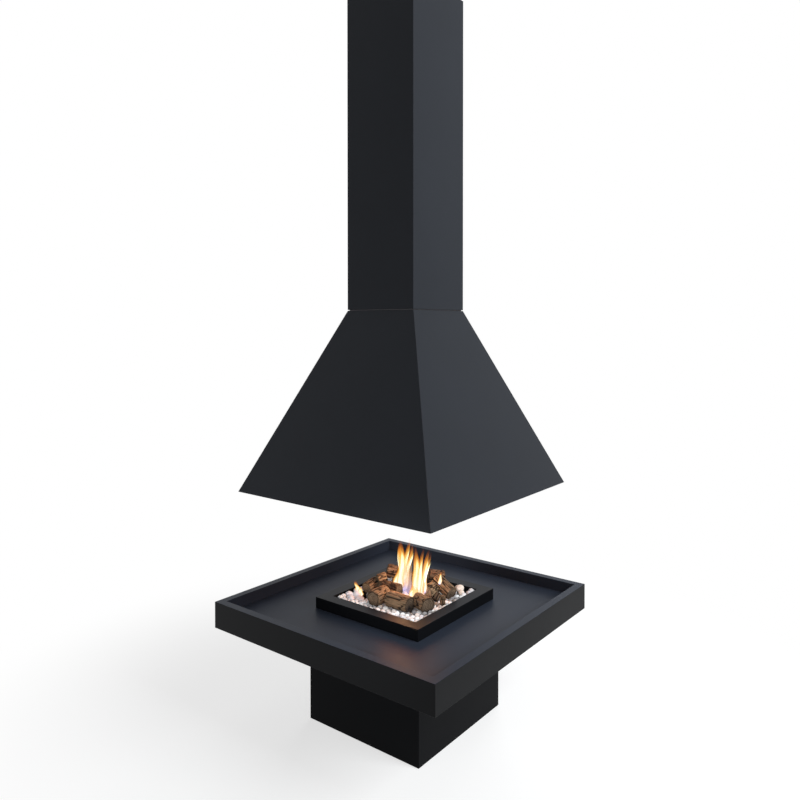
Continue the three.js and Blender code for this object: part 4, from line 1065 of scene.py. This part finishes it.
SPECIAL = {"hearth_top": "table_steel", "burner_surround": "surround_steel",
           "pedestal_shell": "pedestal_steel", "access_door": "pedestal_steel",
           **{f"hood_{side}_panel": "hood_steel" for side in ("front", "right", "rear", "left")}}


# Rounding of the edges, and the slots that have it.
FITTING_EDGES = {
    0.0004: {"dark_steel", "zinc_steel", "stainless", "cast_alloy"},
    0.0003: {"brass", "copper", "white_ceramic"},
    0.0005: {"black_plastic", "red_button", "red_lever"},
}


def dress(slots, radius):
    """Gives each CAD node with one of these slots its finish and soft edges."""
    for name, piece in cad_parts.items():
        slot = piece.material_slots[0].material.name
        if slot in slots:
            piece.material_slots[0].material = material(SPECIAL.get(name, slot))
            soften(piece, radius)


# ------------------------------------------------------------------ fasteners
REAR = (0, 1, 0)
# Place, direction of the head, its radius and its height, in millimetres.
COVER_SCREWS = [((side * 146, 155, 1590 + 150 * step), REAR, 4.5, 2.2)
                for side in (-1, 1) for step in range(8)]
HINGE_LEVELS = (102, 224)
HINGE_HOLES = ((0, 5.5), (0, 16.5), (1, 11))      # columns and rises of a leaf's three screws
FIXED_SCREWS = [((-219 + 10 * column, 257.8, level + rise), REAR, 2.6, 1.2)
                for level in HINGE_LEVELS for column, rise in HINGE_HOLES]
DOOR_SCREWS = [((-173 - 10 * column, 258, level + 22.3 + rise), REAR, 2.6, 1.2)
               for level in HINGE_LEVELS for column, rise in HINGE_HOLES]
BRACKET_SCREWS = [((x, 150, z), REAR, 3.2, 1.6)
                  for x, z in ((23, 213), (93, 179), (-90, 222), (100, 222))]
ANCHOR_BOLTS = [((x, y, 6), (0, 0, 1), 9.5, 6.5) for x in (-210, 210) for y in (-210, 210)]
CLAMP_BOLTS = [((0, -114, 2131), (0, 0, 1), 4.5, 3.0)]
TURNED_SIDES = 36


def turned_mesh(name, profile, place, normal):
    """Turned form about a normal; rings flagged 1 in the profile are hexagons."""
    angle = np.linspace(0, FULL_TURN, TURNED_SIDES, endpoint=False)
    sixth = FULL_TURN / 6
    flat = math.cos(sixth / 2) / np.cos((angle % sixth) - sixth / 2)
    rings = []
    for radius, height, hexagon in profile:
        out = radius * (flat if hexagon else 1)
        rings.append(np.stack([out * np.cos(angle), out * np.sin(angle),
                               np.full(TURNED_SIDES, height)], -1))
    spin = np.array(UP.rotation_difference(Vector(normal)).to_matrix())
    return grid_mesh(name, (np.array(rings) @ spin.T + np.array(place)) * MM)


def button_screw(place, normal, radius, height):
    """Domed screw with a hexagonal socket."""
    profile = ((radius, 0.02, 0), (radius, 0.30 * height, 0), (radius * 0.90, 0.62 * height, 0),
               (radius * 0.66, 0.90 * height, 0), (radius * 0.50, height, 0),
               (radius * 0.46, height, 1), (radius * 0.44, height * 0.97, 1),
               (radius * 0.44, height * 0.35, 1), (radius * 0.20, height * 0.28, 0))
    return turned_mesh("screw", profile, place, normal)


def hexagon_bolt(place, normal, radius, height):
    """Hexagonal bolt head on a washer."""
    washer, rim = radius * 1.35, height * 0.28
    profile = ((washer, 0.02, 0), (washer, rim * 0.8, 0), (washer * 0.97, rim, 0),
               (radius * 1.02, rim, 0), (radius, rim * 1.02, 1), (radius, height * 0.92, 1),
               (radius * 0.84, height, 0), (radius * 0.30, height, 0))
    return turned_mesh("bolt", profile, place, normal)


def fasten(name, build, places, finish_name, body):
    """One piece with all the screws or bolts of a kind, shaded with crisp edges."""
    meshes = [build(*spot) for spot in places]
    piece = link(name, joined(name, meshes), finish_name, body)
    piece.data.set_sharp_from_angle(angle=FACET_ANGLE)


FASTENERS = (
    ("cover_screws", button_screw, COVER_SCREWS, "dark_steel", "base"),
    ("hinge_screws", button_screw, FIXED_SCREWS, "zinc_steel", "base"),
    ("door_leaf_screws", button_screw, DOOR_SCREWS, "zinc_steel", "access_door"),
    ("bracket_screws", button_screw, BRACKET_SCREWS, "zinc_steel", "base"),
    ("anchor_bolts", hexagon_bolt, ANCHOR_BOLTS, "zinc_steel", "base"),
    ("clamp_bolt", hexagon_bolt, CLAMP_BOLTS, "zinc_steel", "base"),
)
DIAL_MIDDLE = (58, 196)            # of the gas knob, across and up
DIAL_FACE = 150.15
DIAL_RADIUS = 24.6
DIAL_STEPS = 8
MARK_HEIGHT, MARK_ROUND = 0.26, 0.08


def dial_mark(step):
    """One mark: a bar at each stop and in the middle, and a dot at the steps between."""
    angle = math.pi / 2 - math.pi * step / DIAL_STEPS
    wide, long = (1.1, 4.6) if step % 4 == 0 else (0.8, 1.6)
    body = bmesh.new()
    bmesh.ops.create_cube(body, size=1)
    for vertex in body.verts:
        across, along, high = vertex.co
        radius = DIAL_RADIUS + (along + 0.5) * long
        x = DIAL_MIDDLE[0] + math.cos(angle) * radius - math.sin(angle) * across * wide
        z = DIAL_MIDDLE[1] + math.sin(angle) * radius + math.cos(angle) * across * wide
        vertex.co = Vector((x, DIAL_FACE + high * MARK_HEIGHT, z)) * MM
    bmesh.ops.bevel(body, geom=body.edges[:], offset=MARK_ROUND * MM, segments=1,
                    affect="EDGES")
    return ended("mark", body)


# ------------------------------------------------------------------ operators
# Kind, place, target, setting with the power, colour and own settings of each studio lamp.
LAMPS = {
    "key_lamp": ("AREA", (4.0, 0.5, 3.2), (0, 0, 1.4), "key", (0.95, 0.98, 1.0), {"size": 2.6}),
    "fill_lamp": ("AREA", (-0.6, -3.3, 0.9), (0, 0, 1.2), "fill", (1, 0.99, 0.97), {"size": 2.0}),
    "back_lamp": ("AREA", (-1.6, 4.2, 1.9), (0, 0, 1.0), "back", (1, 1, 1), {"size": 2.4}),
    "bed_spot": ("SPOT", (1.35, -2.05, 1.30), (0, 0, 0.45), "spot", (1, 1, 1), {
        "spot_size": math.radians(15), "spot_blend": 1.0, "shadow_soft_size": 0.12}),
}
SENSOR = 36                        # width of the camera's picture, in millimetres
FLOOR_DROP = 0.5 * MM              # keeps the floor clear of the pedestal's underside
FLOOR_RADIUS, FLOOR_SIDES = 14, 96
FLOOR_LIFT = 0.66                  # light that the floor adds of itself near the object
FLOOR_FADE = (0.8, 1.9)            # radii between which the floor turns white
# Place, share of the glow, colour and width of each small light in the fire.
GLOWS = {
    "glow_high": ((0.02, -0.02, 0.60), 1.15, (1.0, 0.34, 0.13), 0.10),
    "glow_low": ((0.010, -0.015, 0.52), 0.35, (1.0, 0.62, 0.30), 0.03),
}


class Stage(bpy.types.Operator):
    """Sets the floor, the light and the camera"""

    bl_idname = "fireplace.stage"
    bl_label = "Studio"

    def execute(self, context):
        studio = context.scene.fireplace_studio
        add_camera(studio)
        add_sky(studio)
        add_floor(studio)
        for name, (kind, place, target, power, colour, settings) in LAMPS.items():
            lamp = add_lamp(name, kind, place, getattr(studio, power), colour, settings)
            aim = Vector(target) - Vector(place)
            lamp.rotation_euler = aim.to_track_quat("-Z", "Y").to_euler()
            lamp.visible_glossy = False
        context.scene.view_settings.view_transform = "Standard"
        return {"FINISHED"}


def add_camera(studio):
    data = bpy.data.cameras.new("photo_camera")
    data.sensor_width = SENSOR
    data.lens = studio.lens
    data.shift_x, data.shift_y = studio.shift
    camera = put("photo_camera", data)
    camera.location = studio.eye
    camera.rotation_euler = (math.pi / 2 - studio.tilt, 0, studio.turn)
    bpy.context.scene.camera = camera


def seen_directly(n):
    """1 for rays from the camera, mirrors and glass; 0 for light that falls on the object."""
    seen = None
    for ray in ("Is Camera Ray", "Is Glossy Ray", "Is Transmission Ray"):
        path = n.node("LightPath", None, None, ray)
        seen = path if seen is None else n.maths("MAXIMUM", seen, path)
    return seen


def add_sky(studio):
    """White background that lights the object only a little."""
    world = bpy.data.worlds.new("studio")
    world.use_nodes = True
    n = Nodes(world.node_tree)
    dim = n.node("Background", None, {"Color": (1, 1, 1), "Strength": studio.sky})
    white = n.node("Background", None, {"Color": (1, 1, 1), "Strength": 1.0})
    mixed = n.node("MixShader", None, {0: seen_directly(n), 1: dim, 2: white})
    n.node("OutputWorld", None, {"Surface": mixed})
    bpy.context.scene.world = world


def add_floor(studio):
    """Pale floor that shows the object's shadow and fades to white away from it."""
    body = bmesh.new()
    bmesh.ops.create_circle(body, cap_ends=True, segments=FLOOR_SIDES,
                            radius=FLOOR_RADIUS)
    mesh = ended("studio_floor", body)
    floor = put("studio_floor", mesh)
    floor.location = (0, 0, -FLOOR_DROP)
    made = bpy.data.materials.new("floor")
    made.use_nodes = True
    n = Nodes(made.node_tree)
    matt = n.node("BsdfDiffuse", None, {"Color": studio.floor_colour})
    lift = n.node("Emission", None, {"Color": (1, 1, 1), "Strength": FLOOR_LIFT})
    white = n.node("Emission", None, {"Color": (1, 1, 1), "Strength": 1.0})
    near = n.node("AddShader", None, {0: matt, 1: lift})
    radius = n.node("VectorMath", {"operation": "LENGTH"}, {0: n.place()}, 1)
    far = n.step(radius, *FLOOR_FADE)
    shown = n.node("MixShader", None, {0: far, 1: near, 2: white})
    final = n.node("MixShader", None, {0: seen_directly(n), 1: matt, 2: shown})
    n.node("OutputMaterial", None, {"Surface": final})
    mesh.materials.append(made)


def add_lamp(name, kind, place, power, colour, settings):
    """Lamp that the camera doesn't see."""
    data = bpy.data.lights.new(name, kind)
    data.energy = power
    data.color = colour
    for key, value in settings.items():
        setattr(data, key, value)
    lamp = put(name, data)
    lamp.location = place
    lamp.visible_camera = False
    return lamp


class CoatedSteel(bpy.types.Operator):
    """Finishes the folded, powder-coated steel: table, pedestal, hood and casing"""

    bl_idname = "fireplace.coated_steel"
    bl_label = "Coated steel"

    def execute(self, context):
        dress({"black_steel"}, context.scene.fireplace_coat.fold)
        return {"FINISHED"}


class Fittings(bpy.types.Operator):
    """Finishes the burner, pipes, controls, flue and hangers"""

    bl_idname = "fireplace.fittings"
    bl_label = "Fittings"

    def execute(self, context):
        for radius, slots in FITTING_EDGES.items():
            dress(slots, radius)
        return {"FINISHED"}


class Fasteners(bpy.types.Operator):
    """Adds screws, bolts and the marks round the gas knob"""

    bl_idname = "fireplace.fasteners"
    bl_label = "Fasteners and marks"

    def execute(self, context):
        for name, build, places, finish_name, body in FASTENERS:
            fasten(name, build, places, finish_name, body)
        marks = [dial_mark(step) for step in range(DIAL_STEPS + 1)]
        link("dial_marks", joined("dial_marks", marks), "print_dark")
        return {"FINISHED"}


class Logs(bpy.types.Operator):
    """Builds the moulded logs with bark, cracks and sawn ends"""

    bl_idname = "fireplace.logs"
    bl_label = "Logs"

    def execute(self, context):
        fire = context.scene.fireplace_fire
        for number in LOGS:
            name = f"log_{number:02d}"
            link("bark_" + name, log_mesh(number, fire), "ceramic_log",
                 replaced=(name,))
        return {"FINISHED"}


class Stones(bpy.types.Operator):
    """Fills the burner with pale pebbles and sets the larger stones"""

    bl_idname = "fireplace.stones"
    bl_label = "Stones"

    def execute(self, context):
        fire = context.scene.fireplace_fire
        draw = random.Random(fire.seed)
        link("pebbles", joined("pebbles", pebble_meshes(draw, fire.stone_width)), "pebble",
             replaced=("pebble_bed",))
        for side, finish_name in (("left", "grey_stone"), ("right", "peach_stone")):
            chosen = [stone_mesh(draw, Vector((*at, high)) * MM + UP * BED_LEVEL, size * MM, 4)
                      for where, at, size, high in BIG_STONES if where == side]
            link(f"large_stones_{side}", joined("large_stones", chosen), finish_name)
        return {"FINISHED"}


class Flames(bpy.types.Operator):
    """Lights the fire: tongues of flame and their glow"""

    bl_idname = "fireplace.flames"
    bl_label = "Flames"

    def execute(self, context):
        burn("flames_left", LEFT_TONGUES)
        burn("flames_right", RIGHT_TONGUES)
        burn("flames_low", LOW_TONGUES)
        burn("flames_thin", VEIL_TONGUES, VEIL)
        power = context.scene.fireplace_fire.glow
        for name, (place, share, colour, width) in GLOWS.items():
            add_lamp(name, "POINT", place, power * share, colour, {"shadow_soft_size": width})
        return {"FINISHED"}


OPERATORS = (Stage, CoatedSteel, Fittings, Fasteners, Logs, Stones, Flames)


class FireplacePanel(bpy.types.Panel):
    """Lists the pieces of the fireplace"""

    bl_idname = "VIEW3D_PT_fireplace"
    bl_label = "Fireplace"
    bl_space_type = "VIEW_3D"
    bl_region_type = "UI"
    bl_category = "Fireplace"

    def draw(self, context):
        for operator in OPERATORS:
            self.layout.operator(operator.bl_idname)
        for name in GROUPS:
            settings = getattr(context.scene, "fireplace_" + name)
            for key in settings.bl_rna.properties.keys():
                if key not in ("rna_type", "name"):
                    self.layout.prop(settings, key)


GROUPS = {"coat": CoatSettings, "fire": FireSettings, "studio": StudioSettings}
CLASSES = (*GROUPS.values(), *OPERATORS, FireplacePanel)


def register():
    for cls in CLASSES:
        bpy.utils.register_class(cls)
    for name, group in GROUPS.items():
        pointer = bpy.props.PointerProperty(type=group)
        setattr(bpy.types.Scene, "fireplace_" + name, pointer)


def unregister():
    for name in GROUPS:
        delattr(bpy.types.Scene, "fireplace_" + name)
    for cls in reversed(CLASSES):
        bpy.utils.unregister_class(cls)


def main():
    """Builds every piece in order."""
    register()
    for operator in OPERATORS:
        group, name = operator.bl_idname.split(".")
        getattr(getattr(bpy.ops, group), name)()


if __name__ == "__main__":
    main()
